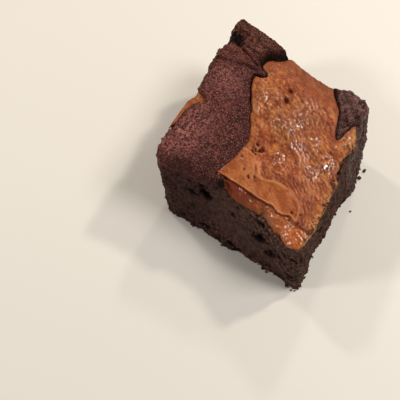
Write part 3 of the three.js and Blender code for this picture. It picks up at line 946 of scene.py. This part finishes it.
def prism(loop):
    """An upright block over a closed loop."""
    count = len(loop)
    low = np.column_stack([loop, np.full(count, PRISM_FOOT)])
    high = np.column_stack([loop, np.full(count, PRISM_TOP)])
    ring = np.arange(count)
    after = np.roll(ring, -1)
    faces = [ring[::-1].tolist(), (ring + count).tolist()]
    faces += np.column_stack([ring, after, after + count, ring + count]).tolist()
    return make_mesh("prism", np.concatenate([low, high]), faces)


def anticlockwise(loop):
    x, y = loop.T
    area = np.sum(x * np.roll(y, -1) - np.roll(x, -1) * y)
    return loop if area > 0 else loop[::-1]


def caramel_cutter(loop, floor):
    """The space that a patch of caramel may fill."""
    cutter = wavy_slab(floor)
    upright = prism(anticlockwise(loop))
    combine(cutter, upright, "INTERSECT")
    drop_piece(upright)
    return cutter


def make_crumb(cutters):
    """The crumb with its crust, cut away where the caramel lies, and the values of its points."""
    points, faces, side, level = block(crust_relief, crust_edge_radius, CRUMB_CELLS)
    piece = make_mesh("brownie_crumb", points, faces)
    dressed, values = dress_crumb(points, normals_of(piece), side, level)
    move_points(piece, dressed)
    for cutter in cutters:
        combine(piece, cutter, "DIFFERENCE")
    drop_slivers(piece)
    smooth_shade(piece)
    return piece, nearest_values(dressed, values, points_of(piece))


def dark_border(surface):
    """1 where the crust is darker, beside the swirl and along the front."""
    u, v = surface.u, surface.v
    border = fade(0, 9, surface.from_swirl) * smooth(0.02, 0.15, v) * (1 - 0.5 * smooth(0.5, 0.6, v))
    front_shade = fade(-0.06, 0.1, v - 0.02 - 0.42 * u)
    return np.maximum(border, front_shade * (1 - hill(u, v, -0.02, 0, 0.09, 0.3)))


def gap_shade_amount(surface):
    """1 where shade is painted in the gap beside the swirl, at its left end, and in the hollow by the
    plate.
    """
    u, v = surface.u, surface.v
    width = 1.3 + 1.6 * beside_plate(u, v)
    gap = fade(0.15, 1, np.abs(surface.from_swirl) / width) * smooth(0.5, 0.6, v)
    gap = gap * fade(4, 6, surface.depth) * fade(0.93, 0.97, u)
    gap = np.maximum(gap, smooth(0.3, 0.8, hill(u, v, 0.425, 0.07, 0.035, 0.03)) * (surface.depth < 5))
    hollow = hollow_amount(u, v, surface.xy) * (1 + 1.2 * noise(surface.points, 1.5, 2.9))
    return np.maximum(gap, smooth(0.15, 0.7, hollow) * (surface.depth < 6))


def paint_crumb(piece, surface, values):
    u, v = surface.u, surface.v
    ochre = sum_of_forms(OCHRE_SPOTS, u, v) * smooth(-0.1, 0.2, noise(surface.points, 1.2, 6.4))
    rosy = hill(u, v, 0.06, 0.2, 0.16, 0.2) + 0.7 * hill(u, v, 0.12, 0.6, 0.13, 0.09)
    paint(piece, values)
    paint(piece, {
        "cap": cap_amount(u, v, surface.xy),
        "plate": plate_amount(u, v),
        "corner": smooth(0.55, 0.65, u) * smooth(0.6, 0.7, v),
        "border": dark_border(surface),
        # Painted shade in the gap beside the swirl and in the hollow by the plate
        "gap": gap_shade_amount(surface),
        "ochre": np.clip(ochre, 0, 1),
        "rosy": np.clip(rosy, 0, 1),
        "right_cut": smooth(0.9, 0.97, u) * smooth(-0.02, 0.05, v),
        "front_left": fade(0.25, 0.55, u) * fade(0.02, 0.1, v),
    })


# The caramel
def make_caramel(name, cutter, cell_count):
    """A patch of caramel, cut from a whole block of it."""
    points, faces, _, level = block(caramel_relief, caramel_edge_radius, cell_count)
    piece = make_mesh(name, points, faces)
    wall = (level < 1) & (level >= 0)
    push = np.where(wall, 0.25 * layered(points, 3.0, 3, 4.0) + 0.1 * noise(points, 1.0), 0)
    move_points(piece, points + normals_of(piece) * push[:, None])
    combine(piece, cutter, "INTERSECT")
    drop_piece(cutter)
    smooth_shade(piece)
    return piece


def paint_caramel(piece, surface):
    u, v, xy = surface.u, surface.v, surface.xy
    strip = strip_amount(u, v)
    blister = blister_strength(u, v)
    bumps = skin_bumps(xy)
    wave, wave_amount = wrinkle_wave(u, v, xy)
    lip_line = behind_front(u, v) - strip_width(u) + lip_wander(xy)
    lip_shown = fade(0.84, 0.94, u)
    craters = -sum_of_forms(CARAMEL_FORMS[:2], u, v)
    # Painted highlight along the flap and fold lines and along the edge of the lip
    ridges = line_ridge(FLAP_LINE, xy, 0.6) + line_ridge(FOLD_LINE, xy, 0.6)
    ridges = ridges + bell(lip_line, 0.35, 0.25) * lip_shown
    from_right = inside_right(u, v) + 2.0 * noise(surface.points, 2.0, 3.0)
    paint(piece, {name: np.clip(sum_of_forms(areas, u, v), 0, 1) for name, areas in TINT_AREAS.items()})
    paint(piece, {
        "sheet": sheet_amount(u, v),
        "strip": strip * fade(0.6, 0.82, u),
        "front": strip * smooth(0.6, 0.84, u),
        "pocket": hill(u, v, *POCKET) * strip,
        # Painted shadow in the groove under the lip
        "under_lip_groove_and_shade": bell(lip_line, -0.22, 0.2) * lip_shown,
        "blister": blister,
        # Painted shade in the creases of the blisters and painted highlight on their crests
        "crease_shade": fade(0.1, 0.75, bumps) * blister,
        "crest_highlight": smooth(0.8, 1.5, bumps) * blister,
        "streak": streak_tone(xy),
        "wrinkle": smooth(0.2, -0.9, wave) * wave_amount,
        "ridge_highlight": np.clip(ridges, 0, 1),
        # Painted shade in the small pits and the craters
        "pit": smooth(0.15, 0.8, small_pits(u, v, xy) + 0.7 * craters),
        "rim": fade(0.6, 2.2, from_right),
        "back": smooth(0.78, 0.95, v),
        "border": fade(0, 2.5, -surface.from_swirl),
        "depth": smooth(1.5, 4.5, surface.depth),
    })


swirl_cutter = caramel_cutter(SWIRL_EDGE, swirl_floor)
dab_cutter = caramel_cutter(DAB_EDGE, dab_floor)
brownie, brownie_values = make_crumb([swirl_cutter, dab_cutter])
swirl = make_caramel("caramel_top", swirl_cutter, CARAMEL_CELLS)
dab = make_caramel("caramel_dab_top", dab_cutter, DAB_CELLS)
brownie_surface = Surface(brownie)
swirl_surface = Surface(swirl)
paint_crumb(brownie, brownie_surface, brownie_values)
paint_caramel(swirl, swirl_surface)
paint_caramel(dab, Surface(dab))


# Crumbs
CRUMB_SEED = 7
FOOT_CRUMBS = 60
WALL_CRUMBS = 360
CRUST_CRUMBS = 90
CARAMEL_CRUMBS = 70
# How far a crumb is sunk into what it lies on, as a share of its radius
CRUMB_SINK = 0.45
# Crumbs that lie beside the foot: smallest radius, how many times larger the largest is, and mean distance
LOOSE_SMALL = 0.3
LOOSE_RANGE = 3
LOOSE_DISTANCE = 1.2
# Crumbs over this radius have a finer mesh
LARGE_CRUMB = 0.6
# Crumbs stay this close to the middle, in x and in y
CRUMB_REACH = np.array([39.5, 37.3])


def crumb_shape(detail):
    """Points and faces of a round lump of radius 1."""
    form = bmesh.new()
    bmesh.ops.create_icosphere(form, subdivisions=detail, radius=1)
    points = np.array([vertex.co[:] for vertex in form.verts])
    faces = [[vertex.index for vertex in face.verts] for face in form.faces]
    form.free()
    return points, faces


class Crumbs:
    """Collects uneven lumps and joins them into one mesh."""

    def __init__(self, seed):
        self.rng = np.random.default_rng(seed)
        self.shapes = {detail: crumb_shape(detail) for detail in (2, 3)}
        self.points = []
        self.faces = []
        self.total = 0

    def add(self, place, radius):
        points, faces = self.shapes[3 if radius > LARGE_CRUMB else 2]
        turned = points @ np.linalg.qr(self.rng.normal(size=(3, 3)))[0]
        uneven_radius = 1 + 0.55 * noise(turned, 0.8, self.rng.random() * 50)
        stretch = self.rng.uniform(0.65, 1.25, 3)
        lump = turned * uneven_radius[:, None] * stretch * radius + place
        lump[:, 2] = np.maximum(lump[:, 2], 0.01)
        self.points.append(lump)
        self.faces += [[index + self.total for index in face] for face in faces]
        self.total += len(lump)

    def scatter(self, surface, where, count, small, large):
        """Sets lumps on points picked from part of a surface, each sunk a little into it."""
        sites, normals = surface.points[where], surface.normals[where]
        for index in self.rng.choice(len(sites), count, replace=False):
            radius = small * (large / small) ** (self.rng.random() ** 2)
            self.add(sites[index] + normals[index] * radius * (1 - 2 * CRUMB_SINK), radius)

    def scatter_loose(self, sites, count):
        """Sets lumps on the ground beside points of the foot."""
        outward = sites[:, :2] / np.linalg.norm(sites[:, :2], axis=1, keepdims=True)
        for index in self.rng.choice(len(sites), count, replace=False):
            radius = LOOSE_SMALL * LOOSE_RANGE ** (self.rng.random() ** 2)
            place = sites[index, :2] + outward[index] * self.rng.exponential(LOOSE_DISTANCE)
            place = np.clip(place, -CRUMB_REACH, CRUMB_REACH)
            self.add(np.array([*place, radius * 0.6]), radius)

    def piece(self, name):
        return make_mesh(name, np.concatenate(self.points), self.faces)


def scatter_crumbs(body, values, top):
    """Crumbs on the cuts, the foot, the crust, its rims, the ground and the right rim of the caramel."""
    crumbs = Crumbs(CRUMB_SEED)
    points, up = body.points, body.normals[:, 2]
    on_wall = (values["crust"] < 0.3) & (points[:, 2] > 0.5) & (body.depth > 3) & (np.abs(up) < 0.7)
    on_wall &= (np.abs(body.from_swirl) > 1) | (body.depth > 8)
    on_foot = on_wall & (points[:, 2] < 6)
    on_crust = (values["crust"] > 0.8) & (up > 0.5) & (body.depth < 3)
    near_rim = on_crust & (np.minimum(body.u + 0.02, body.v) < 0.06)
    crumbs.scatter(body, on_wall & (values["smear"] < 0.5), WALL_CRUMBS, 0.22, 0.6)
    crumbs.scatter(body, on_foot, FOOT_CRUMBS, 0.35, 1.0)
    crumbs.scatter(body, on_crust, CRUST_CRUMBS, 0.2, 0.4)
    crumbs.scatter(body, near_rim, CRUST_CRUMBS, 0.2, 0.5)
    crumbs.scatter_loose(points[(points[:, 2] < 0.4) & (np.abs(up) < 0.9)], FOOT_CRUMBS)
    ragged = inside_right(top.u, top.v) + 2.5 * noise(top.points, 5.0, 2.0)
    right_rim = (top.normals[:, 2] > 0.3) & (ragged < 1.2) & (top.v > 0.1) & (top.v < 0.72)
    crumbs.scatter(top, right_rim & (top.points[:, 2] > 30), CARAMEL_CRUMBS, 0.2, 0.6)
    return crumbs.piece("crumbs")


crumbs_piece = scatter_crumbs(brownie_surface, brownie_values, swirl_surface)


# Materials
class Nodes:
    """A short way to write a node tree."""

    def __init__(self, name):
        self.material = bpy.data.materials.new(name)
        self.material.use_nodes = True
        self.tree = self.material.node_tree
        self.shader = self.tree.nodes["Principled BSDF"]
        coordinates = self.tree.nodes.new("ShaderNodeTexCoord")
        scale = self.tree.nodes.new("ShaderNodeVectorMath")
        scale.operation = "SCALE"
        scale.inputs["Scale"].default_value = 1 / MM
        self.tree.links.new(coordinates.outputs["Object"], scale.inputs[0])
        self.place = scale.outputs[0]

    def put(self, socket, value):
        if isinstance(value, bpy.types.NodeSocket):
            self.tree.links.new(value, socket)
        elif isinstance(value, tuple) and len(value) == 3 and socket.type == "RGBA":
            socket.default_value = (*value, 1)
        else:
            socket.default_value = value

    def attribute(self, name):
        node = self.tree.nodes.new("ShaderNodeAttribute")
        node.attribute_name = name
        return node.outputs["Fac"]

    def noise(self, size, detail, roughness=0.55):
        node = self.tree.nodes.new("ShaderNodeTexNoise")
        node.inputs["Scale"].default_value = 1 / size
        node.inputs["Detail"].default_value = detail
        node.inputs["Roughness"].default_value = roughness
        self.put(node.inputs["Vector"], self.place)
        return node.outputs["Fac"]

    def spots(self, size):
        """Distance to the nearest of many scattered spots."""
        node = self.tree.nodes.new("ShaderNodeTexVoronoi")
        node.inputs["Scale"].default_value = 1 / size
        self.put(node.inputs["Vector"], self.place)
        return node.outputs["Distance"]

    def math(self, operation, a, b):
        node = self.tree.nodes.new("ShaderNodeMath")
        node.operation = operation
        self.put(node.inputs[0], a)
        self.put(node.inputs[1], b)
        return node.outputs[0]

    def times(self, a, b):
        return self.math("MULTIPLY", a, b)

    def plus(self, a, b):
        return self.math("ADD", a, b)

    def minus(self, a, b):
        return self.math("SUBTRACT", a, b)

    def ramp(self, value, low, high, to_low=0.0, to_high=1.0):
        """A smooth step from to_low to to_high as the value goes from low to high."""
        node = self.tree.nodes.new("ShaderNodeMapRange")
        node.interpolation_type = "SMOOTHSTEP"
        numbers = {"From Min": low, "From Max": high, "To Min": to_low, "To Max": to_high}
        for socket, number in numbers.items():
            node.inputs[socket].default_value = number
        self.put(node.inputs["Value"], value)
        return node.outputs["Result"]

    def mix(self, factor, a, b):
        node = self.tree.nodes.new("ShaderNodeMix")
        node.data_type = "RGBA"
        self.put(node.inputs[0], factor)
        self.put(node.inputs[6], a)
        self.put(node.inputs[7], b)
        return node.outputs[2]

    def tint(self, colour, name, share, towards):
        """Takes the colour a share of the way towards another, where the mesh is painted with that name."""
        return self.mix(self.times(self.attribute(name), share), colour, towards)

    def tints(self, colour, table):
        for name, share, towards in table:
            colour = self.tint(colour, name, share, towards)
        return colour

    def bump(self, height, distance, strength=1.0):
        node = self.tree.nodes.new("ShaderNodeBump")
        node.inputs["Strength"].default_value = strength
        node.inputs["Distance"].default_value = distance * MM
        self.put(node.inputs["Height"], height)
        return node.outputs["Normal"]

    def set(self, **values):
        for name, value in values.items():
            self.put(self.shader.inputs[name.replace("_", " ")], value)


# Colours of the crust. A pair is the dark and the light of a mottled part.
GRAIN_COLOURS = (0.01, 0.002, 0.002), (0.17, 0.039, 0.033)
CAP_COLOURS = (0.055, 0.012, 0.009), (0.15, 0.037, 0.026)
PLATE_COLOURS = (0.028, 0.008, 0.006), (0.12, 0.035, 0.022)
# The light colour of the corner pair is painted sheen
CORNER_TONE_AND_SHEEN = (0.03, 0.01, 0.009), (0.22, 0.12, 0.112)
CRUST_BLOTCH = (0.05, 0.011, 0.009)
ROSY = (0.42, 0.15, 0.13)
DARK_BORDER = (0.045, 0.01, 0.009)
RAISED_GRAIN_HIGHLIGHT = (0.31, 0.115, 0.1)
DARK_MOTTLE = (0.018, 0.005, 0.004)
SPECK = (0.45, 0.225, 0.195)
SUGAR = (0.38, 0.185, 0.165)
OCHRE = (0.36, 0.14, 0.05)
# Colours of the cut crumb, and painted shade in low places of crumb and crust
CUT_COLOURS = (0.015, 0.007, 0.005), (0.2, 0.092, 0.073)
SMEAR_COLOURS = (0.03, 0.015, 0.012), (0.1, 0.05, 0.04)
CUT_BLOTCH = (0.075, 0.035, 0.027)
CUT_TINTS = [("right_cut", 0.5, (0.055, 0.022, 0.012)), ("front_left", 0.6, (0.028, 0.008, 0.007))]
PIT_SHADE = (0.01, 0.003, 0.002)
LOW_GRAIN_SHADE = (0.015, 0.005, 0.003)
GAP_SHADE = (0.008, 0.003, 0.002)
TEAR_SHADE = (0.001, 0.0005, 0.0005)


def crust_colour(n, grain, specks, blotch, push):
    """The crust: fine grain, the three smoother parts at the back, and pale specks over all."""
    patchy = n.ramp(n.noise(2.6, 3.0, 0.65), 0.38, 0.62)
    rosy = n.times(n.attribute("rosy"), n.ramp(n.noise(0.9, 3.0, 0.75), 0.44, 0.58, 0.0, 0.9))
    mottle = n.ramp(n.noise(1.9, 3.0, 0.7), 0.52, 0.4, 0.0, 0.45)
    sugar = n.times(n.ramp(n.spots(0.45), 0.36, 0.2), n.ramp(n.noise(3.0, 2.0), 0.4, 0.6, 0.1, 0.45))
    colour = n.mix(n.ramp(grain, 0.44, 0.58), *GRAIN_COLOURS)
    colour = n.mix(n.ramp(blotch, 0.4, 0.65, 0.0, 0.5), colour, CRUST_BLOTCH)
    colour = n.mix(rosy, colour, ROSY)
    colour = n.tint(colour, "cap", 0.7, n.mix(patchy, *CAP_COLOURS))
    colour = n.tint(colour, "plate", 0.75, n.mix(patchy, *PLATE_COLOURS))
    # The corner crust is dark, and its pale lilac patches are painted sheen
    colour = n.tint(colour, "corner", 0.7, n.mix(patchy, *CORNER_TONE_AND_SHEEN))
    colour = n.tint(colour, "border", 0.75, DARK_BORDER)
    # Painted highlight: the crust is made lighter where its grain stands out
    colour = n.mix(n.ramp(push, 0.08, 0.35, 0.0, 0.4), colour, RAISED_GRAIN_HIGHLIGHT)
    colour = n.mix(mottle, colour, DARK_MOTTLE)
    colour = n.mix(n.ramp(specks, 0.36, 0.16, 0.0, 0.5), colour, SPECK)
    colour = n.mix(sugar, colour, SUGAR)
    return n.tint(colour, "ochre", 0.7, OCHRE)


def cut_colour(n, blotch):
    """The cut crumb, smoother where the knife smeared it."""
    colour = n.mix(n.ramp(n.noise(1.2, 4.0, 0.75), 0.42, 0.62), *CUT_COLOURS)
    colour = n.mix(n.ramp(blotch, 0.4, 0.65, 0.0, 0.4), colour, CUT_BLOTCH)
    smeared = n.mix(n.ramp(n.noise(2.6, 4.0, 0.65), 0.36, 0.64), *SMEAR_COLOURS)
    colour = n.tint(colour, "smear", 0.65, smeared)
    return n.tints(colour, CUT_TINTS)


def chocolate_material():
    n = Nodes("chocolate_crumb")
    push = n.attribute("push")
    grain = n.noise(1.0, 3.0, 0.75)
    specks = n.spots(0.7)
    blotch = n.noise(7.0, 3.0)
    cut = cut_colour(n, blotch)
    crust = crust_colour(n, grain, specks, blotch, push)
    colour = n.mix(n.attribute("crust"), cut, crust)
    colour = n.tint(colour, "pit", 0.75, PIT_SHADE)
    # Painted shade where the grain is pushed in
    colour = n.mix(n.ramp(push, -0.1, -0.6, 0.0, 0.6), colour, LOW_GRAIN_SHADE)
    colour = n.mix(n.attribute("gap"), colour, GAP_SHADE)
    colour = n.mix(n.attribute("tear"), colour, TEAR_SHADE)
    fine = n.plus(n.noise(0.5, 3.0, 0.7), n.times(n.noise(1.6, 3.0), 0.7))
    fine = n.minus(fine, n.times(specks, 0.5))
    fine = n.times(fine, n.ramp(n.attribute("smear"), 0.0, 1.0, 1.0, 0.45))
    roughness = n.minus(n.ramp(grain, 0.3, 0.7, 0.5, 0.85), n.times(n.attribute("corner"), 0.3))
    n.set(Base_Color=colour, Roughness=roughness, Normal=n.bump(fine, 0.3), Specular_IOR_Level=0.1)
    return n.material


# Colours of the caramel
SKIN_COLOURS = (0.225, 0.043, 0.009), (0.44, 0.122, 0.03)
DARK_STREAK = (0.18, 0.028, 0.006)
PALE_STREAK = (0.66, 0.24, 0.072)
# In this table the tint in the creases is painted shade and the tint on the crests painted highlight; the
# others are the caramel's own colours
SKIN_TINTS = [("olive", 0.5, (0.2, 0.1, 0.025)), ("red", 0.65, (0.27, 0.042, 0.012)),
              ("gold", 0.5, (0.62, 0.23, 0.055)), ("crease_shade", 0.9, (0.09, 0.014, 0.003)),
              ("crest_highlight", 0.5, (0.7, 0.265, 0.075))]
SHEET_COLOURS = (0.33, 0.087, 0.022), (0.43, 0.135, 0.041)
FINE_SHADE = (0.21, 0.038, 0.009)
PALE_MOTTLE = (0.56, 0.225, 0.075)
FLECK = (0.085, 0.015, 0.005)
# In this table the tint along the flap, the fold and the edge of the lip is painted highlight
FOLD_TINTS = [("wrinkle", 0.75, (0.13, 0.02, 0.005)), ("ridge_highlight", 0.55, (0.66, 0.24, 0.08)),
              ("back", 0.7, (0.23, 0.056, 0.02))]
BURNT_SPOT = (0.13, 0.028, 0.009)
STRIP_RED = (0.32, 0.045, 0.012)
FRONT_COLOURS = (0.64, 0.2, 0.055), (0.42, 0.085, 0.022)
# In this table the tint under the lip is painted shadow
EDGE_TINTS = [("pocket", 0.9, (0.25, 0.036, 0.01)), ("border", 0.35, (0.2, 0.05, 0.014)),
              ("under_lip_groove_and_shade", 0.9, (0.05, 0.008, 0.003))]
RIM_COLOURS = (0.07, 0.02, 0.008), (0.55, 0.24, 0.06)
CARAMEL_PIT_SHADE = (0.07, 0.008, 0.003)
DEEP_CARAMEL = (0.2, 0.085, 0.03)
# How much duller the caramel is where the mesh is painted with a name
DULLNESS = [("pit", 0.5), ("rim", 0.4), ("under_lip_groove_and_shade", 0.5)]
LIGHT_REACH = (1.0, 0.35, 0.12)


def skin_colour(n, fine, blister):
    """The streaked and tinted skin, with painted shade in its creases, painted highlight on its crests and
    along its lines, and pale mottling and dark flecks where it blistered.
    """
    streak = n.attribute("streak")
    mottle = n.times(n.ramp(n.noise(0.9, 2.0, 0.6), 0.52, 0.62), n.ramp(blister, 0.1, 0.5, 0.1, 0.4))
    flecks = n.times(n.ramp(n.noise(1.1, 2.0, 0.7), 0.6, 0.68), n.ramp(blister, 0.15, 0.6, 0.1, 0.75))
    colour = n.mix(n.ramp(n.noise(4.5, 4.0, 0.6), 0.35, 0.68), *SKIN_COLOURS)
    colour = n.mix(n.ramp(streak, 0.56, 0.24, 0.0, 0.75), colour, DARK_STREAK)
    colour = n.mix(n.ramp(streak, 0.56, 0.88, 0.0, 0.6), colour, PALE_STREAK)
    colour = n.tints(colour, SKIN_TINTS)
    colour = n.tint(colour, "sheet", 0.8, n.mix(n.ramp(streak, 0.3, 0.7), *SHEET_COLOURS))
    colour = n.mix(n.ramp(fine, 0.42, 0.6, 0.0, 0.45), colour, FINE_SHADE)
    colour = n.mix(mottle, colour, PALE_MOTTLE)
    colour = n.mix(flecks, colour, FLECK)
    colour = n.tints(colour, FOLD_TINTS)
    return n.mix(n.ramp(n.spots(1.3), 0.16, 0.08, 0.0, 0.5), colour, BURNT_SPOT)


def edge_colour(n, colour, fine):
    """Adds the dragged strip, the lip with painted shadow under it, the rim, painted shade in the pits and
    the deep caramel at the cuts.
    """
    dragged = n.times(n.attribute("strip"), n.ramp(n.noise(2.0, 3.0), 0.46, 0.56, 0.92, 0.0))
    colour = n.mix(dragged, colour, STRIP_RED)
    colour = n.tint(colour, "front", 0.85, n.mix(n.ramp(fine, 0.4, 0.6), *FRONT_COLOURS))
    colour = n.tints(colour, EDGE_TINTS)
    colour = n.tint(colour, "rim", 0.75, n.mix(n.ramp(n.noise(1.5, 3.0, 0.7), 0.45, 0.55), *RIM_COLOURS))
    # Painted shade in the pits and craters
    colour = n.mix(n.attribute("pit"), colour, CARAMEL_PIT_SHADE)
    return n.tint(colour, "depth", 0.5, DEEP_CARAMEL)


def caramel_material():
    n = Nodes("baked_caramel")
    blister = n.attribute("blister")
    fine = n.noise(0.8, 3.0, 0.65)
    wet = n.plus(n.attribute("strip"), n.attribute("front"))
    colour = edge_colour(n, skin_colour(n, fine, blister), fine)
    roughness = n.minus(n.ramp(n.noise(1.6, 2.0), 0.35, 0.65, 0.36, 0.5), n.times(blister, 0.2))
    roughness = n.minus(roughness, n.times(wet, 0.18))
    for name, dullness in DULLNESS:
        roughness = n.plus(roughness, n.times(n.attribute(name), dullness))
    relief = n.plus(n.times(fine, 0.6), n.noise(2.2, 3.0, 0.6))
    relief = n.times(relief, n.ramp(n.plus(blister, wet), 0.2, 0.6, 1.0, 0.15))
    dry = n.math("MAXIMUM", n.attribute("depth"), n.attribute("pit"))
    dry = n.math("MAXIMUM", n.attribute("under_lip_groove_and_shade"), dry)
    coat = n.ramp(n.plus(blister, n.times(wet, 0.65)), 0.3, 0.9, 0.05, 0.75)
    n.set(Base_Color=colour, Roughness=roughness, Normal=n.bump(relief, 0.22, 0.9), Specular_IOR_Level=0.18)
    n.set(Coat_Weight=n.times(coat, n.minus(1.0, dry)), Coat_Roughness=0.1, Coat_IOR=1.85)
    n.set(Subsurface_Weight=0.06, Subsurface_Radius=LIGHT_REACH, Subsurface_Scale=0.6 * MM)
    return n.material


LOOSE_COLOURS = (0.045, 0.014, 0.01), (0.15, 0.06, 0.045)


def crumb_material():
    n = Nodes("loose_crumbs")
    colour = n.mix(n.ramp(n.noise(1.5, 3.0), 0.35, 0.65), *LOOSE_COLOURS)
    bump = n.bump(n.noise(0.4, 3.0, 0.7), 0.15)
    n.set(Base_Color=colour, Normal=bump, Roughness=0.75, Specular_IOR_Level=0.18)
    return n.material


def plain_material(name, colour, roughness):
    n = Nodes(name)
    n.set(Base_Color=colour, Roughness=roughness)
    return n.material


def dress_piece(piece, material, node=None):
    """Gives a piece its material, hangs it on the root, and hides the solid it stands for, if any."""
    piece.data.materials.clear()
    piece.data.materials.append(material)
    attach(piece, "root")
    if node:
        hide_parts(node)


chocolate = chocolate_material()
caramel = caramel_material()
dress_piece(brownie, chocolate, "brownie_body")
dress_piece(swirl, caramel, "caramel_swirl")
dress_piece(dab, caramel, "caramel_dab")
dress_piece(crumbs_piece, crumb_material())


# Camera, floor and light
CAMERA_AZIMUTH = math.radians(37.23)
CAMERA_ELEVATION = math.radians(64.43)
CAMERA_ROLL = math.radians(-0.73)
CAMERA_PLACE = (0.05189, -0.11338, 0.22963)
LENS = 54.0
FILM_WIDTH = 36.0
FLOOR_REACH = 3000.0
FLOOR_COLOUR = (0.82, 0.785, 0.73)
SKY_COLOUR = (1.0, 0.97, 0.94)
SKY_STRENGTH = 0.14
BULB_COLOUR = (1.0, 0.91, 0.78)
# Name, azimuth and elevation in degrees, distance and size in metres, watts, colour
LAMPS = [
    ("window", 125, 56, 0.7, 0.25, 2.2, (1.0, 0.97, 0.93)),
    ("bulb_behind", 160, 45, 0.8, 0.06, 1.9, BULB_COLOUR),
    ("bulb_left", 255, 42, 0.8, 0.06, 1.2, BULB_COLOUR),
    ("bulb_beyond", 200, 36, 0.8, 0.06, 1.0, BULB_COLOUR),
    ("bulb_in_front", -48, 36, 0.8, 0.12, 1.7, (1.0, 0.95, 0.88)),
]


def turn_to(azimuth, elevation, roll=0.0):
    """Rotation of something that looks back along that direction, turned about its own axis by roll."""
    back = np.array([math.sin(azimuth) * math.cos(elevation), -math.cos(azimuth) * math.cos(elevation),
                     math.sin(elevation)])
    level = np.array([math.cos(azimuth), math.sin(azimuth), 0.0])
    upright = np.cross(back, level)
    right = math.cos(roll) * level + math.sin(roll) * upright
    up = np.cross(back, right)
    return Matrix(np.column_stack([right, up, back]).tolist())


def add_camera():
    camera = bpy.data.objects.new("camera", bpy.data.cameras.new("camera"))
    bpy.context.scene.collection.objects.link(camera)
    camera.data.lens = LENS
    camera.data.sensor_width = FILM_WIDTH
    camera.data.clip_start = 0.01
    rotation = turn_to(CAMERA_AZIMUTH, CAMERA_ELEVATION, CAMERA_ROLL)
    camera.matrix_world = Matrix.Translation(CAMERA_PLACE) @ rotation.to_4x4()
    bpy.context.scene.camera = camera


def add_lamp(name, azimuth, elevation, distance, size, power, colour):
    """A square soft light aimed at the middle of the brownie."""
    light = bpy.data.lights.new(name, "AREA")
    light.energy = power
    light.size = size
    light.color = colour
    lamp = bpy.data.objects.new(name, light)
    bpy.context.scene.collection.objects.link(lamp)
    rotation = turn_to(math.radians(azimuth), math.radians(elevation)).to_4x4()
    lamp.matrix_world = rotation @ Matrix.Translation((0, 0, distance))


def add_floor():
    signs = np.array([[-1, -1, 0], [1, -1, 0], [1, 1, 0], [-1, 1, 0]])
    floor = make_mesh("floor", signs * FLOOR_REACH, [[0, 1, 2, 3]])
    floor.data.materials.append(plain_material("pale_floor", FLOOR_COLOUR, 0.6))


def add_sky():
    world = bpy.data.worlds.new("sky")
    world.use_nodes = True
    background = world.node_tree.nodes["Background"]
    background.inputs["Color"].default_value = (*SKY_COLOUR, 1)
    background.inputs["Strength"].default_value = SKY_STRENGTH
    bpy.context.scene.world = world


add_camera()
add_floor()
add_sky()
for lamp in LAMPS:
    add_lamp(*lamp)
bpy.context.scene.view_settings.view_transform = "Standard"
